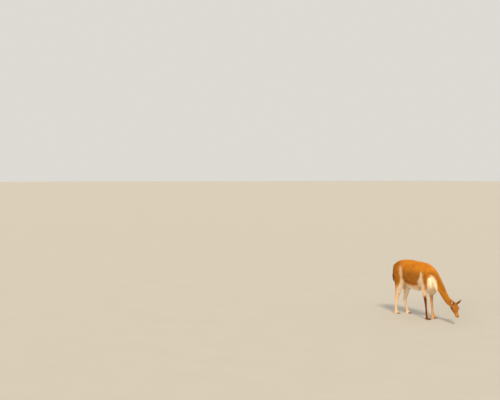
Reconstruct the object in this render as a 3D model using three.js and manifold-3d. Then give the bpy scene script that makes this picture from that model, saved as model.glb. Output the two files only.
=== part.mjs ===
// A life-size vicuna that grazes with its head lowered and turned a little to its right.
// Sizes are millimetres over the coat: x runs forward, y to the animal's left and z up from the ground.
// The trunk, neck, legs, tail and head are lofts through tables of stations. They are joined into one body,
// which drawn outlines then cut into parts, with a thin gap between neighbours.
import * as THREE from "three";
import { mergeVertices } from "three/addons/utils/BufferGeometryUtils.js";
import Module from "manifold-3d";

const wasm = await Module();
wasm.setup();

// Driving dimensions
const GAP = 0.3;
const STRIDE = 74; // how far the left hind foot stands ahead of the right one
const FORE_STAGGER = 6; // how far the right forefoot stands ahead of the shoulders, and the left one behind
const HEAD_AT = new THREE.Vector3(462, 6, 262);
const HEAD_PITCH = 37; // degrees below level
const HEAD_YAW = -30; // degrees towards its left
const HEAD_ROLL = -6;
const EYE = { x: 90, y: 35, z: 17, radius: 17 }; // in the head's own frame
const EAR_LENGTH = 100;
// The left ear is laid back and out, the right one stands up and out, as the animal listens.
const EARS = {
  left: { along: [-0.5, 0.62, 0.3], open: [0.2, 0.8, -0.9] },
  right: { along: [0.1, -0.3, 0.85], open: [0.8, 0.05, 0.5] },
};
const EAR_ROOT = { x: 26, y: 33, z: 24 };
const KNEE_HEIGHT = 262;
const HOCK_HEIGHT = 222;
const PASTERN_HEIGHT = 56;
const TOE = { length: 66, half: 14, height: 31, apart: 14.5 };

// Trunk: x, top, belly, half width, height of the widest place
const TRUNK = [
  [-610, 680, 680, 2, 680],
  [-602, 712, 632, 46, 676],
  [-579, 745, 560, 86, 662],
  [-534, 775, 500, 113, 644],
  [-462, 798, 460, 122, 628],
  [-370, 808, 428, 130, 612],
  [-270, 806, 402, 138, 594],
  [-170, 799, 396, 137, 584],
  [-80, 793, 408, 126, 588],
  [-10, 785, 428, 112, 598],
  [50, 762, 455, 96, 602],
  [92, 716, 498, 72, 598],
  [114, 656, 546, 40, 594],
  [120, 600, 588, 2, 594],
];

// Swellings of haunch and shoulder: middle, reach along x, y and z, and how far the surface moves
const TRUNK_SWELLS = [
  [-505, 110, 640, 95, 80, 120, 0, 20, 0],
  [-25, 110, 610, 70, 80, 110, 0, 13, 0],
  [-330, 110, 470, 45, 70, 60, 0, -20, 12],
  [-75, 100, 455, 35, 60, 50, 0, -15, 8],
];

// Neck: x, y, z, degrees below level, degrees to the left, upper half depth, lower half depth, half width
const NECK = [
  [-20, 0, 680, 22, 0, 20, 40, 20],
  [2, 0, 668, 24, 0, 100, 108, 78],
  [50, 0, 648, 32, 0, 102, 104, 80],
  [108, 0, 610, 43, 0, 92, 84, 72],
  [165, 1, 556, 50, 0, 79, 68, 62],
  [220, 3, 488, 54, 0, 70, 57, 54],
  [272, 4, 416, 55, 0, 62, 50, 49],
  [322, 6, 348, 53, -2, 56, 45, 45],
  [372, 8, 296, 47, -6, 51, 43, 43],
  [420, 9, 262, 42, -14, 47, 43, 42],
  [450, 6, 238, 40, -20, 28, 28, 26],
];

// Legs: x, y, z, front half, back half, half width, share of the stride or stagger
const FORELEG = [
  [-20, 74, 712, 12, 12, 6, 0],
  [-18, 75, 690, 44, 46, 22, 0],
  [-6, 77, 640, 58, 60, 32, 0],
  [8, 78, 580, 62, 66, 38, 0],
  [0, 78, 522, 56, 60, 40, 0],
  [-3, 74, 470, 47, 49, 36, 0.1],
  [3, 71, 415, 38, 38, 30, 0.2],
  [13, 69, 355, 30, 30, 26, 0.4],
  [23, 67, 300, 24, 25, 23, 0.6],
  [27, 66, 262, 23, 24, 22.5, 0.7],
  [30, 66, 228, 19.5, 20, 18.5, 0.8],
  [37, 66, 165, 16.5, 17, 15.5, 0.9],
  [44, 66, 108, 16.5, 18, 15.5, 1],
  [47, 66, 78, 19, 21, 18.5, 1],
  [53, 66, 54, 19, 20, 19.5, 1],
  [60, 66, 34, 22, 24, 23, 1],
  [64, 66, 12, 20, 24, 20, 1],
];
const HINDLEG = [
  [-524, 68, 742, 12, 12, 6, 0.12],
  [-520, 68, 716, 70, 62, 38, 0.12],
  [-506, 70, 650, 104, 86, 58, 0.15],
  [-488, 72, 585, 112, 96, 66, 0.16],
  [-474, 75, 522, 102, 98, 62, 0.17],
  [-466, 77, 462, 82, 90, 53, 0.2],
  [-470, 78, 405, 68, 74, 45, 0.2],
  [-486, 78, 348, 54, 55, 37, 0.22],
  [-500, 79, 296, 43, 41, 30, 0.27],
  [-511, 79, 252, 34, 36, 26, 0.27],
  [-520, 79, 212, 27, 33, 22.5, 0.22],
  [-526, 79, 150, 20.5, 21, 18, 0.4],
  [-531, 78, 104, 18.5, 19, 16.5, 0.7],
  [-532, 78, 76, 20, 21, 19, 0.9],
  [-528, 78, 52, 19.5, 20.5, 19.5, 0.97],
  [-522, 78, 34, 22, 24, 23, 1],
  [-518, 78, 12, 20, 24, 20, 1],
];

// Outlines in x and z that part the limbs and the neck from the trunk
const SHOULDER_OUTLINE = [
  [-98, 100], [-96, 480], [-94, 560], [-84, 640], [-62, 705], [-30, 738], [2, 720],
  [30, 670], [50, 610], [62, 550], [64, 480], [120, 100],
];
const HAUNCH_OUTLINE = [
  [-700, 100], [-700, 560], [-640, 640], [-604, 706], [-560, 748], [-510, 752], [-450, 716],
  [-404, 650], [-374, 580], [-356, 500], [-352, 440], [-352, 100],
];
const NECK_OUTLINE = [
  [30, 900], [42, 780], [62, 720], [80, 660], [94, 600], [104, 550], [108, 500], [112, 440],
  [112, -100], [900, -100], [900, 900],
];

// Each pair of limbs: its loft, the height of the joint that parts it, its outline, and the distance from the
// middle plane to the inner face of its upper part
const LIMBS = {
  front: { table: FORELEG, joint: KNEE_HEIGHT, outline: SHOULDER_OUTLINE, depth: 30 },
  hind: { table: HINDLEG, joint: HOCK_HEIGHT, outline: HAUNCH_OUTLINE, depth: 20 },
};

// Tail core: x, z, front half, back half, half width
const TAIL = [
  [-600, 724, 4, 4, 4],
  [-612, 714, 16, 16, 19],
  [-628, 690, 17, 15, 23],
  [-640, 640, 14, 14, 24],
  [-644, 590, 11, 12, 20],
  [-643, 552, 7, 8, 12],
  [-642, 536, 2, 2, 4],
];

// Rows of locks on a core: x, z, front half, back half and half width of the row's oval, its arc from one angle
// to another in degrees from straight ahead, how many locks, their length and half width, and how they splay
const TAIL_LOCKS = [
  [-624, 694, 16, 16, 22, 110, 250, 3, 96, 18, 0.08],
  [-638, 650, 14, 14, 23, 70, 290, 4, 104, 16, 0.05],
  [-643, 600, 11, 12, 20, 40, 320, 4, 108, 16, 0.04],
  [-643, 562, 6, 7, 11, 30, 330, 3, 86, 12, 0.03],
];

// Chest hair core: x, z, front half, back half, half width
const BIB = [
  [70, 672, 10, 12, 12],
  [80, 652, 46, 50, 62],
  [90, 612, 58, 60, 78],
  [94, 560, 58, 58, 78],
  [90, 510, 50, 52, 68],
  [82, 466, 32, 38, 46],
  [78, 440, 10, 12, 14],
];
const BIB_LOCKS = [
  [88, 634, 56, 46, 72, -108, 108, 6, 122, 26, 0.14],
  [92, 588, 58, 50, 76, -114, 114, 7, 126, 25, 0.12],
  [92, 540, 55, 50, 74, -120, 120, 7, 128, 24, 0.09],
  [88, 496, 45, 46, 62, -150, 150, 7, 126, 21, 0.06],
  [82, 462, 28, 32, 40, -160, 160, 5, 112, 18, 0.03],
  [80, 446, 9, 11, 14, -90, 90, 2, 92, 15, 0.02],
];

// Head, in its own frame: x towards the lips, top, underside, half width, height of the widest place
const HEAD = [
  [-40, 2, -4, 2, 0],
  [-32, 22, -28, 24, 0],
  [-8, 37, -41, 38, 2],
  [20, 46, -48, 44, 4],
  [48, 50, -52, 47, 5],
  [76, 49, -53, 48, 6],
  [102, 43, -50, 43, 2],
  [128, 36, -44, 35, -3],
  [154, 30, -39, 28, -6],
  [178, 25, -35, 24.5, -7],
  [200, 21, -32, 23.5, -8],
  [217, 16, -29, 22, -8],
  [227, 8, -24, 17, -9],
  [232, -6, -12, 4, -9],
];
const HEAD_SWELLS = [
  [88, 36, 34, 26, 14, 12, 0, 7, 4], // brow
  [104, 42, -6, 26, 16, 12, 0, 5, 0], // cheekbone
  [46, 36, -24, 34, 20, 26, 0, 5, -2], // jaw muscle
  [90, 46, 16, 13, 16, 11, 0, -5, 0], // eye socket
  [212, 14, 2, 14, 12, 12, 2, 4, 3], // nostril's side
  [198, 16, -16, 26, 14, 8, 0, 3, 0], // upper lip
  [204, 0, -34, 16, 14, 8, 2, 0, -4], // chin
];

const LEFT = 1;
const RIGHT = -1;
const SIDES = { left: LEFT, right: RIGHT };
const UP = new THREE.Vector3(0, 0, 1);
const FORWARD = new THREE.Vector3(1, 0, 0);
const LEFTWARD = new THREE.Vector3(0, 1, 0);
const BIG = 3000;

// Coat and skin materials
const coat = (color, roughness = 0.95) => new THREE.MeshStandardMaterial({ color, roughness, metalness: 0 });
const FAWN = coat("#c47a2c");
const FACE = coat("#b8743a");
const CREAM = coat("#ecd3a6");
const LEG = coat("#dcae72");
const WHITE = coat("#f3e6c8");
const DARK_HORN = coat("#2b2622", 0.55);
const EYE_BLACK = coat("#120c08", 0.12);

// The row at place u of a table, counted in rows, on a smooth curve through all its rows.
function rowAt(table, u) {
  const i = Math.min(Math.floor(u), table.length - 2);
  const t = u - i;
  const row = (k) => table[THREE.MathUtils.clamp(k, 0, table.length - 1)];
  const [p0, p1, p2, p3] = [i - 1, i, i + 1, i + 2].map(row);
  return p1.map((value, c) => {
    const start = (p2[c] - p0[c]) / 2;
    const end = (p3[c] - value) / 2;
    const step = p2[c] - value;
    return value + t * (start + t * (3 * step - 2 * start - end + t * (start + end - 2 * step)));
  });
}

// A closed skin over rings of points, each end drawn to the middle of its ring, with its faces turned outwards.
function skinOver(rings) {
  const around = rings[0].length;
  const points = rings.flat();
  const last = (rings.length - 1) * around;
  const middle = (ring) => ring.reduce((sum, p) => sum.add(p), new THREE.Vector3()).divideScalar(around);
  points.push(middle(rings[0]), middle(rings.at(-1)));
  const faces = [];
  for (let j = 0; j < around; j++) {
    const next = (j + 1) % around;
    faces.push([points.length - 2, next, j], [points.length - 1, last + j, last + next]);
    for (let i = 0; i < rings.length - 1; i++) {
      const [a, b] = [i * around, (i + 1) * around];
      faces.push([a + j, a + next, b + next], [a + j, b + next, b + j]);
    }
  }
  const volume = faces.reduce((sum, [a, b, c]) => sum + points[a].dot(points[b].clone().cross(points[c])), 0);
  const turned = volume < 0 ? faces.map(([a, b, c]) => [a, c, b]) : faces;
  return new THREE.BufferGeometry().setFromPoints(points).setIndex(turned.flat());
}

// An oval ring with its half axes about a centre. Square over 1 fills its corners.
function ovalRing(centre, up, side, [over, under, half], count, square = 1) {
  return Array.from({ length: count }, (_, j) => {
    const angle = (2 * Math.PI * (j + 0.5)) / count;
    const [c, s] = [Math.cos(angle), Math.sin(angle)];
    const across = Math.sign(c) * Math.abs(c) ** (1 / square) * half;
    const along = Math.sign(s) * Math.abs(s) ** (1 / square) * (s > 0 ? over : under);
    return centre.clone().addScaledVector(side, across).addScaledVector(up, along);
  });
}

// The point moved by swellings that fade out as a bell curve, alike on both sides.
function swollen(point, swells) {
  const side = point.y < 0 ? RIGHT : LEFT;
  const result = point.clone();
  for (const [x, y, z, reachX, reachY, reachZ, moveX, moveY, moveZ] of swells) {
    const offset = new THREE.Vector3(point.x - x, Math.abs(point.y) - y, point.z - z);
    const fade = Math.exp(-offset.divide(new THREE.Vector3(reachX, reachY, reachZ)).lengthSq());
    result.addScaledVector(new THREE.Vector3(moveX, side * moveY, moveZ), fade);
  }
  return result;
}

// Rings at even steps through a table, where ringOf makes a row into a ring.
function loft(table, stepsPerRow, ringOf) {
  const count = (table.length - 1) * stepsPerRow + 1;
  const rings = Array.from({ length: count }, (_, k) => ringOf(rowAt(table, k / stepsPerRow)));
  return solidOf(skinOver(rings));
}

// A closed geometry as a solid that can be joined and cut.
function solidOf(geometry) {
  const bare = geometry.clone();
  bare.deleteAttribute("normal");
  bare.deleteAttribute("uv");
  const merged = mergeVertices(bare, 1e-4);
  const vertProperties = merged.attributes.position.array;
  const triVerts = new Uint32Array(merged.index.array);
  return new wasm.Manifold(new wasm.Mesh({ numProp: 3, vertProperties, triVerts }));
}

// A named mesh of a solid's largest closed body.
function meshOf(name, solid, material) {
  const body = solid.decompose().reduce((a, b) => (b.volume() > a.volume() ? b : a));
  const { numProp, numVert, vertProperties, triVerts } = body.getMesh();
  const points = Array.from({ length: numVert }, (_, i) =>
    new THREE.Vector3().fromArray(vertProperties, i * numProp));
  const geometry = new THREE.BufferGeometry().setFromPoints(points).setIndex([...triVerts]);
  geometry.computeVertexNormals();
  const mesh = new THREE.Mesh(geometry, material);
  mesh.name = name;
  return mesh;
}

const joinAll = (solids) => solids.reduce((whole, piece) => whole.add(piece));
const cutAll = (solid, cutters) => cutters.reduce((left, cutter) => left.subtract(cutter), solid);
const placed = (geometry, matrix) => solidOf(geometry.clone().applyMatrix4(matrix));
const at = (x, y, z) => new THREE.Matrix4().makeTranslation(x, y, z);

// All of space on the far side of a plane, along its direction.
function beyond(point, direction) {
  const turn = new THREE.Quaternion().setFromUnitVectors(UP, direction.clone().normalize());
  const matrix = new THREE.Matrix4().compose(point, turn, new THREE.Vector3(1, 1, 1));
  return placed(new THREE.BoxGeometry(BIG, BIG, BIG).translate(0, 0, BIG / 2), matrix);
}

// The stretch of a solid between two heights.
function between(solid, low, high) {
  const slab = new THREE.BoxGeometry(BIG, BIG, high - low).translate(0, 0, (low + high) / 2);
  return solid.intersect(solidOf(slab));
}

// A smooth closed outline in x and z as a block that runs from one y to another.
function outlineBlock(outline, fromY, toY) {
  const shape = new THREE.Shape(outline.map(([x, z]) => new THREE.Vector2(x, z)));
  const block = new THREE.ExtrudeGeometry(shape, { depth: toY - fromY, bevelEnabled: false });
  return placed(block, new THREE.Matrix4().makeRotationX(Math.PI / 2).setPosition(0, toY, 0));
}

// An outline with each corner moved outwards by a distance.
function widened(outline, distance) {
  const points = outline.map(([x, z]) => new THREE.Vector2(x, z));
  const turn = THREE.ShapeUtils.isClockWise(points) ? -distance : distance;
  return points.map((point, i) => {
    const along = points[(i + 1) % points.length].clone().sub(points.at(i - 1)).normalize();
    return [point.x + along.y * turn, point.y - along.x * turn];
  });
}

// An ellipsoid with its three half axes, turned by a matrix.
function bulge(halves, matrix, detail = 12) {
  return placed(new THREE.SphereGeometry(1, detail, Math.ceil(detail * 0.6)).scale(...halves), matrix);
}

function trunkLoft(grow = 0) {
  return loft(TRUNK, 2, ([x, top, belly, half, middle]) => {
    const halves = [top - middle + grow, middle - belly + grow, half + grow];
    const ring = ovalRing(new THREE.Vector3(x, 0, middle), UP, LEFTWARD, halves, 28, 1.06);
    return ring.map((point) => swollen(point, TRUNK_SWELLS));
  });
}

function neckLoft(grow = 0) {
  return loft(NECK, 2, ([x, y, z, down, left, over, under, half]) => {
    const turn = new THREE.Euler(0, THREE.MathUtils.degToRad(down), THREE.MathUtils.degToRad(left), "ZYX");
    const up = UP.clone().applyEuler(turn);
    const side = LEFTWARD.clone().applyEuler(turn);
    return ovalRing(new THREE.Vector3(x, y, z), up, side, [over + grow, under + grow, half + grow], 20);
  });
}

// A leg is a loft of level ovals from inside the trunk down to the foot.
function legLoft(pair, side, grow = 0) {
  const forward = stepOf(pair, side);
  return loft(LIMBS[pair].table, 1, ([x, y, z, front, back, half, share]) => {
    const centre = new THREE.Vector3(x + share * forward, side * y, z);
    return ovalRing(centre, FORWARD, LEFTWARD, [front + grow, back + grow, half + grow], 16);
  });
}

// One toe: a low wedge with a flat sole, rounded at the heel and narrowed at the tip.
function toeLoft(centreX, centreY, splay) {
  const { length, half, height } = TOE;
  const stations = [
    [-0.42, 0.4, 0.3, 0],
    [-0.38, 0.85, 0.8, 0],
    [-0.15, 1, 1, 0],
    [0.15, 1, 0.88, 0.3],
    [0.38, 0.84, 0.62, 0.6],
    [0.52, 0.5, 0.34, 0.85],
  ];
  const toe = loft(stations, 1, ([along, wide, tall, out]) => {
    const centreZ = 0.42 * height * tall;
    const centre = new THREE.Vector3(centreX + along * length, centreY + splay * out * 2.5, centreZ);
    return ovalRing(centre, UP, LEFTWARD, [height * tall * 0.58, height, half * wide], 10, 1.15);
  });
  return between(toe, 0, BIG);
}

// The nail over a toe's tip, made a little larger where it cuts the toe.
function nailLoft(centreX, centreY, splay, grow = 0) {
  const { length, half } = TOE;
  const stations = [
    [0.3, 0.6, 17, 1.5],
    [0.34, 0.76, 19.5, 1.5],
    [0.5, 0.6, 14.5, 1.2],
    [0.64, 0.38, 8, 1],
    [0.71, 0.12, 3.4, 1],
  ];
  return loft(stations, 1, ([along, wide, top, low]) => {
    const centre = new THREE.Vector3(centreX + along * length, centreY + splay * 2.5, (top + low) / 2);
    const tall = (top - low) / 2 + grow;
    return ovalRing(centre, UP, LEFTWARD, [tall, tall, half * wide + grow], 8, 1.2);
  });
}

// How far a limb's foot stands ahead of its place in the table.
function stepOf(pair, side) {
  if (pair === "hind") return side === LEFT ? STRIDE : 0;
  return -side * FORE_STAGGER;
}

// The space of a limb's upper part, on one side of the middle plane.
function limbBlock({ outline, depth }, side, grow = 0) {
  const [near, far] = [side * (depth - grow), side * BIG];
  return outlineBlock(widened(outline, grow), Math.min(near, far), Math.max(near, far));
}

// Foot, lower leg and upper leg of one limb, cut from the body by its outline, with two nails on the foot.
function limb(body, pair, word) {
  const side = SIDES[word];
  const prefix = `${pair}_leg_${word}`;
  const { table, joint } = LIMBS[pair];
  const own = body.intersect(limbBlock(LIMBS[pair], side));
  const whole = legLoft(pair, side);
  const [footX, footY] = table.at(-1);
  const centreX = footX + stepOf(pair, side) + 8;
  const pairOf = (make, grow) => Object.values(SIDES).map((splay) =>
    make(centreX, side * footY + splay * TOE.apart, splay, grow));
  const bare = joinAll([between(whole, 0, PASTERN_HEIGHT), ...pairOf(toeLoft)]);
  const foot = cutAll(bare, pairOf(nailLoft, GAP));
  const nails = pairOf(nailLoft);
  return [
    { name: `${prefix}_upper`, solid: between(own, joint + GAP, BIG), material: LEG },
    { name: `${prefix}_lower`, solid: between(whole, PASTERN_HEIGHT + GAP, joint), material: CREAM },
    { name: `${prefix}_foot`, solid: foot, material: CREAM },
    ...Object.keys(SIDES).map((toe, i) =>
      ({ name: `${prefix}_nail_${toe}`, solid: nails[i], material: DARK_HORN })),
  ];
}

function tailLoft(grow = 0) {
  return loft(TAIL, 1, ([x, z, front, back, half]) =>
    ovalRing(new THREE.Vector3(x, 0, z), FORWARD, LEFTWARD, [front + grow, back + grow, half + grow], 12));
}

// One flat tapered lock of hair. It starts under the surface at its root, follows its points and ends in a tip.
// Wide is its half width half way down, and out the way its flat side faces.
function lockOf(points, wide, thick, out) {
  const curve = new THREE.CatmullRomCurve3(points);
  const profile = [[0, 0.75], [0.36, 1], [0.74, 0.72], [1, 0.05]];
  return solidOf(skinOver(profile.map(([share, size]) => {
    const along = curve.getTangentAt(share);
    const across = new THREE.Vector3().crossVectors(out, along).normalize();
    const face = new THREE.Vector3().crossVectors(along, across);
    const centre = curve.getPointAt(share);
    return [[across, wide], [face, thick], [across, -wide], [face, -thick]]
      .map(([way, reach]) => centre.clone().addScaledVector(way, reach * size));
  })));
}

// Locks hung in rows round a core. Each starts on the row's oval, a little inside the core's surface, and
// falls under its own weight, splayed outwards by a share of its length.
function hungLocks(rows, draw) {
  return rows.flatMap(([x, z, front, back, half, from, to, count, length, wide, splay]) =>
    Array.from({ length: count }, (_, i) => {
      const turn = THREE.MathUtils.lerp(from, to, i / (count - 1)) + (draw() - 0.5) * 14;
      const angle = THREE.MathUtils.degToRad(turn);
      const out = new THREE.Vector3(Math.cos(angle), Math.sin(angle), 0);
      const reach = new THREE.Vector3(out.x * (out.x > 0 ? front : back), out.y * half, 0);
      const side = new THREE.Vector3(-out.y, out.x, 0);
      const long = length * (0.86 + 0.28 * draw());
      const drift = (draw() - 0.5) * 0.22 * long;
      const root = new THREE.Vector3(x, 0, z + (draw() - 0.5) * 16).addScaledVector(reach, 0.8);
      // shares of the lock's length outwards, downwards and sideways
      const course = [[0, 0, 0], [0.85 * splay, 0.3, 0], [splay, 0.66, 0.5], [0.6 * splay, 1, 1]];
      const points = course.map(([away, fall, bend]) =>
        root.clone()
          .addScaledVector(out, away * long)
          .addScaledVector(UP, -fall * long)
          .addScaledVector(side, bend * drift));
      return lockOf(points, wide * (0.85 + 0.3 * draw()), wide * 0.34, out);
    }));
}

// The bare head in its own frame, shrunk by a negative grow.
function headLoft(grow = 0) {
  return loft(HEAD, 2, ([x, top, under, half, middle]) => {
    const halves = [top - middle + grow, middle - under + grow, half + grow];
    const ring = ovalRing(new THREE.Vector3(x, 0, middle), UP, LEFTWARD, halves, 28, 1.05);
    return ring.map((point) => swollen(point, HEAD_SWELLS));
  });
}

// The eyeball stands on the side of the head, a little under its brow.
const eyeBall = (side, grow = 0) => {
  const { x, y, z, radius } = EYE;
  return bulge([radius + grow, radius + grow, radius + grow], at(x, side * y, z), 14);
};

// Upper and lower lid: a flattened ring round the eye that leans forward and out with it.
function lids(side) {
  const { x, y, z, radius } = EYE;
  const ring = new THREE.TorusGeometry(radius * 0.8, 3.2, 6, 18).scale(1.1, 0.84, 1);
  const out = new THREE.Vector3(0.24, side * 0.93, 0.2).normalize();
  const turn = new THREE.Quaternion().setFromUnitVectors(UP, out);
  const centre = new THREE.Vector3(x, side * y, z).addScaledVector(out, radius * 0.6);
  return placed(ring, new THREE.Matrix4().compose(centre, turn, new THREE.Vector3(1, 1, 1)));
}

// The line of the mouth: a thin bent plate across the muzzle, kept only near its surface.
function mouthLine() {
  const line = [[156, -18], [174, -20], [196, -18], [214, -14.5], [240, -13]];
  const thickness = 1.8;
  const depth = 3.5;
  const outline = [
    ...line.map(([x, z]) => [x, z + thickness / 2]),
    ...line.toReversed().map(([x, z]) => [x, z - thickness / 2]),
  ];
  return outlineBlock(outline, -60, 60).subtract(headLoft(-depth));
}

// The head with its lids and eye pockets, nostrils, mouth and cleft upper lip.
function headSolid() {
  const cuts = [mouthLine(), bulge([9, 1.2, 11], at(231, 0, -4), 8)];
  for (const side of [RIGHT, LEFT]) {
    const nostril = new THREE.Matrix4().makeRotationFromEuler(new THREE.Euler(side * 0.35, -0.75, side * 0.35));
    cuts.push(bulge([10, 4, 2.8], nostril.setPosition(222, side * 15, 4), 8));
    cuts.push(eyeBall(side, GAP));
  }
  return cutAll(joinAll([headLoft(), lids(RIGHT), lids(LEFT)]), cuts);
}

// One ear: a leaf-shaped cup whose section is a crescent. Along is its own line and open the way it opens.
function earSolid(side, attitude) {
  const root = new THREE.Vector3(EAR_ROOT.x, side * EAR_ROOT.y, EAR_ROOT.z);
  const along = new THREE.Vector3(...attitude.along).normalize();
  const open = new THREE.Vector3(...attitude.open);
  open.addScaledVector(along, -open.dot(along)).normalize();
  const across = new THREE.Vector3().crossVectors(along, open);
  // share of the length, half width, depth of the cup, bend of the tip towards the opening
  const stations = [
    [-0.12, 11, 11, 0],
    [0, 14, 13, 0],
    [0.14, 18, 14, 0],
    [0.32, 20.5, 13, 1],
    [0.52, 19, 11, 2],
    [0.7, 14.5, 8, 2],
    [0.86, 8.5, 5, 0],
    [0.96, 3.8, 3, -2],
    [1, 1.2, 1.4, -3],
  ];
  const arc = 7;
  return loft(stations, 1, ([share, half, deep, bend]) => {
    const middle = root.clone().addScaledVector(along, share * EAR_LENGTH).addScaledVector(open, bend);
    const thick = Math.min(3, half * 0.45);
    const line = (halfWidth, depth, reverse) =>
      Array.from({ length: arc }, (_, j) => {
        const angle = Math.PI * (reverse ? (arc - 1 - j) / (arc - 1) : j / (arc - 1));
        return middle.clone()
          .addScaledVector(across, halfWidth * Math.cos(angle))
          .addScaledVector(open, -depth * Math.sin(angle));
      });
    const cup = THREE.MathUtils.smoothstep(share, 0.02, 0.2);
    const inner = THREE.MathUtils.lerp(-0.6 * deep, Math.max(deep - thick, 0.3 * deep), cup);
    return [...line(half, deep, false), ...line(half - thick * 0.7, inner, true)];
  });
}

// The long hair of the chest: a core from the base of the neck to between the forelegs, under hanging locks.
function chestHair() {
  const core = loft(BIB, 1, ([x, z, front, back, half]) =>
    ovalRing(new THREE.Vector3(x, 0, z), FORWARD, LEFTWARD, [front, back, half], 16));
  return joinAll([core, ...hungLocks(BIB_LOCKS, drawFrom(7))]);
}

// The tail: a core under overlapping locks that fall along it.
function tailHair(grow = 0) {
  return joinAll([tailLoft(grow), ...hungLocks(TAIL_LOCKS, drawFrom(3))]);
}

// A repeatable random draw between 0 and 1.
function drawFrom(seed) {
  let state = seed;
  return () => {
    state = (Math.imul(state, 1664525) + 1013904223) >>> 0;
    return state / 4294967296;
  };
}

const headTurn = new THREE.Euler(...[HEAD_ROLL, HEAD_PITCH, HEAD_YAW].map(THREE.MathUtils.degToRad), "ZYX");
const headPlace = new THREE.Matrix4().makeRotationFromEuler(headTurn).setPosition(HEAD_AT);
const moved = (solid) => solid.transform(headPlace.elements);

const nape = new THREE.Vector3(2, 0, 0).applyMatrix4(headPlace);
const napeWay = new THREE.Vector3(1, 0, 0.1).transformDirection(headPlace);
const behindNape = nape.clone().addScaledVector(napeWay, -GAP);

const pairs = Object.keys(LIMBS);
const sides = Object.values(SIDES);
const legs = (grow = 0) => pairs.flatMap((pair) => sides.map((side) => legLoft(pair, side, grow)));
const necked = neckLoft().add(moved(headLoft()).subtract(beyond(nape, napeWay)));
const body = joinAll([trunkLoft(), necked, ...legs()]).subtract(tailHair(GAP));

const limbs = pairs.flatMap((pair) => Object.keys(SIDES).flatMap((word) => limb(body, pair, word)));
const limbRoom = pairs.flatMap((pair) => sides.map((side) => limbBlock(LIMBS[pair], side, GAP)));
const neckRoom = outlineBlock(widened(NECK_OUTLINE, GAP), -BIG, BIG);
const torso = cutAll(body, [...limbRoom, neckRoom]);
const neckBlock = outlineBlock(NECK_OUTLINE, -BIG, BIG);
const neck = cutAll(body.intersect(neckBlock), [...limbRoom, beyond(behindNape, napeWay)]);
const head = moved(headSolid()).add(neckLoft()).intersect(beyond(nape, napeWay));
const bib = cutAll(chestHair(), [trunkLoft(GAP), neckLoft(GAP), ...legs(GAP)]);

const vicuna = new THREE.Group();
vicuna.add(meshOf("torso", torso, FAWN));
vicuna.add(meshOf("neck", neck, FAWN));
vicuna.add(meshOf("chest_bib", bib, WHITE));
vicuna.add(meshOf("tail", tailHair(), FAWN));
vicuna.add(meshOf("head", head, FACE));
for (const [word, side] of Object.entries(SIDES)) {
  const ear = earSolid(side, EARS[word]);
  vicuna.add(meshOf(`ear_${word}`, moved(ear).subtract(head), FACE));
  vicuna.add(meshOf(`eye_${word}`, moved(eyeBall(side)), EYE_BLACK));
}
for (const { name, solid, material } of limbs) vicuna.add(meshOf(name, solid, material));

// The origin lies on the ground under the middle of the whole.
const room = new THREE.Box3().setFromObject(vicuna);
const middle = room.getCenter(new THREE.Vector3());
for (const { geometry } of vicuna.children) geometry.translate(-middle.x, -middle.y, -room.min.z);

export default vicuna;
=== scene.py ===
"""A life-size grazing vicuna, dressed round its solids: skin, coat, eyes, nails, floor, light and camera.

Sizes in the tables are millimetres in the animal's plan frame: x runs forward from the withers, y to its
left and z up from the ground. SHIFT moves them into the frame of the solids.
"""
import math

import bpy
import numpy as np
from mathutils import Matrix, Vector


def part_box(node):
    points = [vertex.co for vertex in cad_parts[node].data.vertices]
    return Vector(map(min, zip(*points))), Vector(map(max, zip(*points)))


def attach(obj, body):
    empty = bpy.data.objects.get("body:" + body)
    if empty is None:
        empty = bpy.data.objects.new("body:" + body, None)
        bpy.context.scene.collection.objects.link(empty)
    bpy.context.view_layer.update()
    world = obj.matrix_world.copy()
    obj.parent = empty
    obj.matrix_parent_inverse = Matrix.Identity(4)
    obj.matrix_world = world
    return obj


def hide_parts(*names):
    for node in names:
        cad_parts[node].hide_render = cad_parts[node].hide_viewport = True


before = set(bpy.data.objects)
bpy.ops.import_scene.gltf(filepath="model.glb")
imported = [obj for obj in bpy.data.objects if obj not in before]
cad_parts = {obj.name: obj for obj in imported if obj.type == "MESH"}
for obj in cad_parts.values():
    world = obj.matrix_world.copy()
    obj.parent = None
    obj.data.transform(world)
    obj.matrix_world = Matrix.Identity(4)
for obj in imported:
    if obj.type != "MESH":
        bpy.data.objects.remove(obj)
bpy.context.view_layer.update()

bl_info = {
    "name": "Grazing vicuna",
    "version": (1, 0, 0),
    "blender": (4, 5, 0),
    "location": "View3D > Sidebar > Vicuna",
    "description": "Skin, woolly coat, eyes and nails of a life-size vicuna",
    "category": "Object",
}

# sizes of the animal, millimetres
HEAD_AT = np.array([462.0, 6.0, 262.0])
HEAD_ROLL, HEAD_PITCH, HEAD_YAW = -6.0, 37.0, -30.0
EYE_AT = np.array([90.0, 35.0, 17.0])
EYE_RADIUS = 16.2
EYE_OUT = np.array([0.24, 0.93, 0.2]) / np.linalg.norm([0.24, 0.93, 0.2])
LID_HALF = np.array([15.6, 11.2])
PUPIL_HALF = (7.2, 3.6)
EAR_ROOT = np.array([26.0, 33.0, 24.0])
EAR_LENGTH = 100.0
STRIDE = 74.0
FORE_STAGGER = 6.0
TOE = {"length": 66.0, "half": 14.0, "height": 31.0, "apart": 14.5}
FOOT_REACH = 8.0
SIDES = {"left": 1, "right": -1}
X, Y, Z = np.eye(3)

# trunk: x, top, belly, half width, height of the widest place
TRUNK = [
    [-610, 680, 680, 2, 680], [-602, 712, 632, 46, 676], [-579, 745, 560, 86, 662],
    [-534, 775, 500, 113, 644], [-462, 798, 460, 122, 628], [-370, 808, 428, 130, 612],
    [-270, 806, 402, 138, 594], [-170, 799, 396, 137, 584],
    [-80, 793, 408, 126, 588], [-10, 785, 428, 112, 598], [50, 762, 455, 96, 602],
    [92, 716, 498, 72, 598], [114, 656, 546, 40, 594], [120, 600, 588, 2, 594],
]
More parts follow.
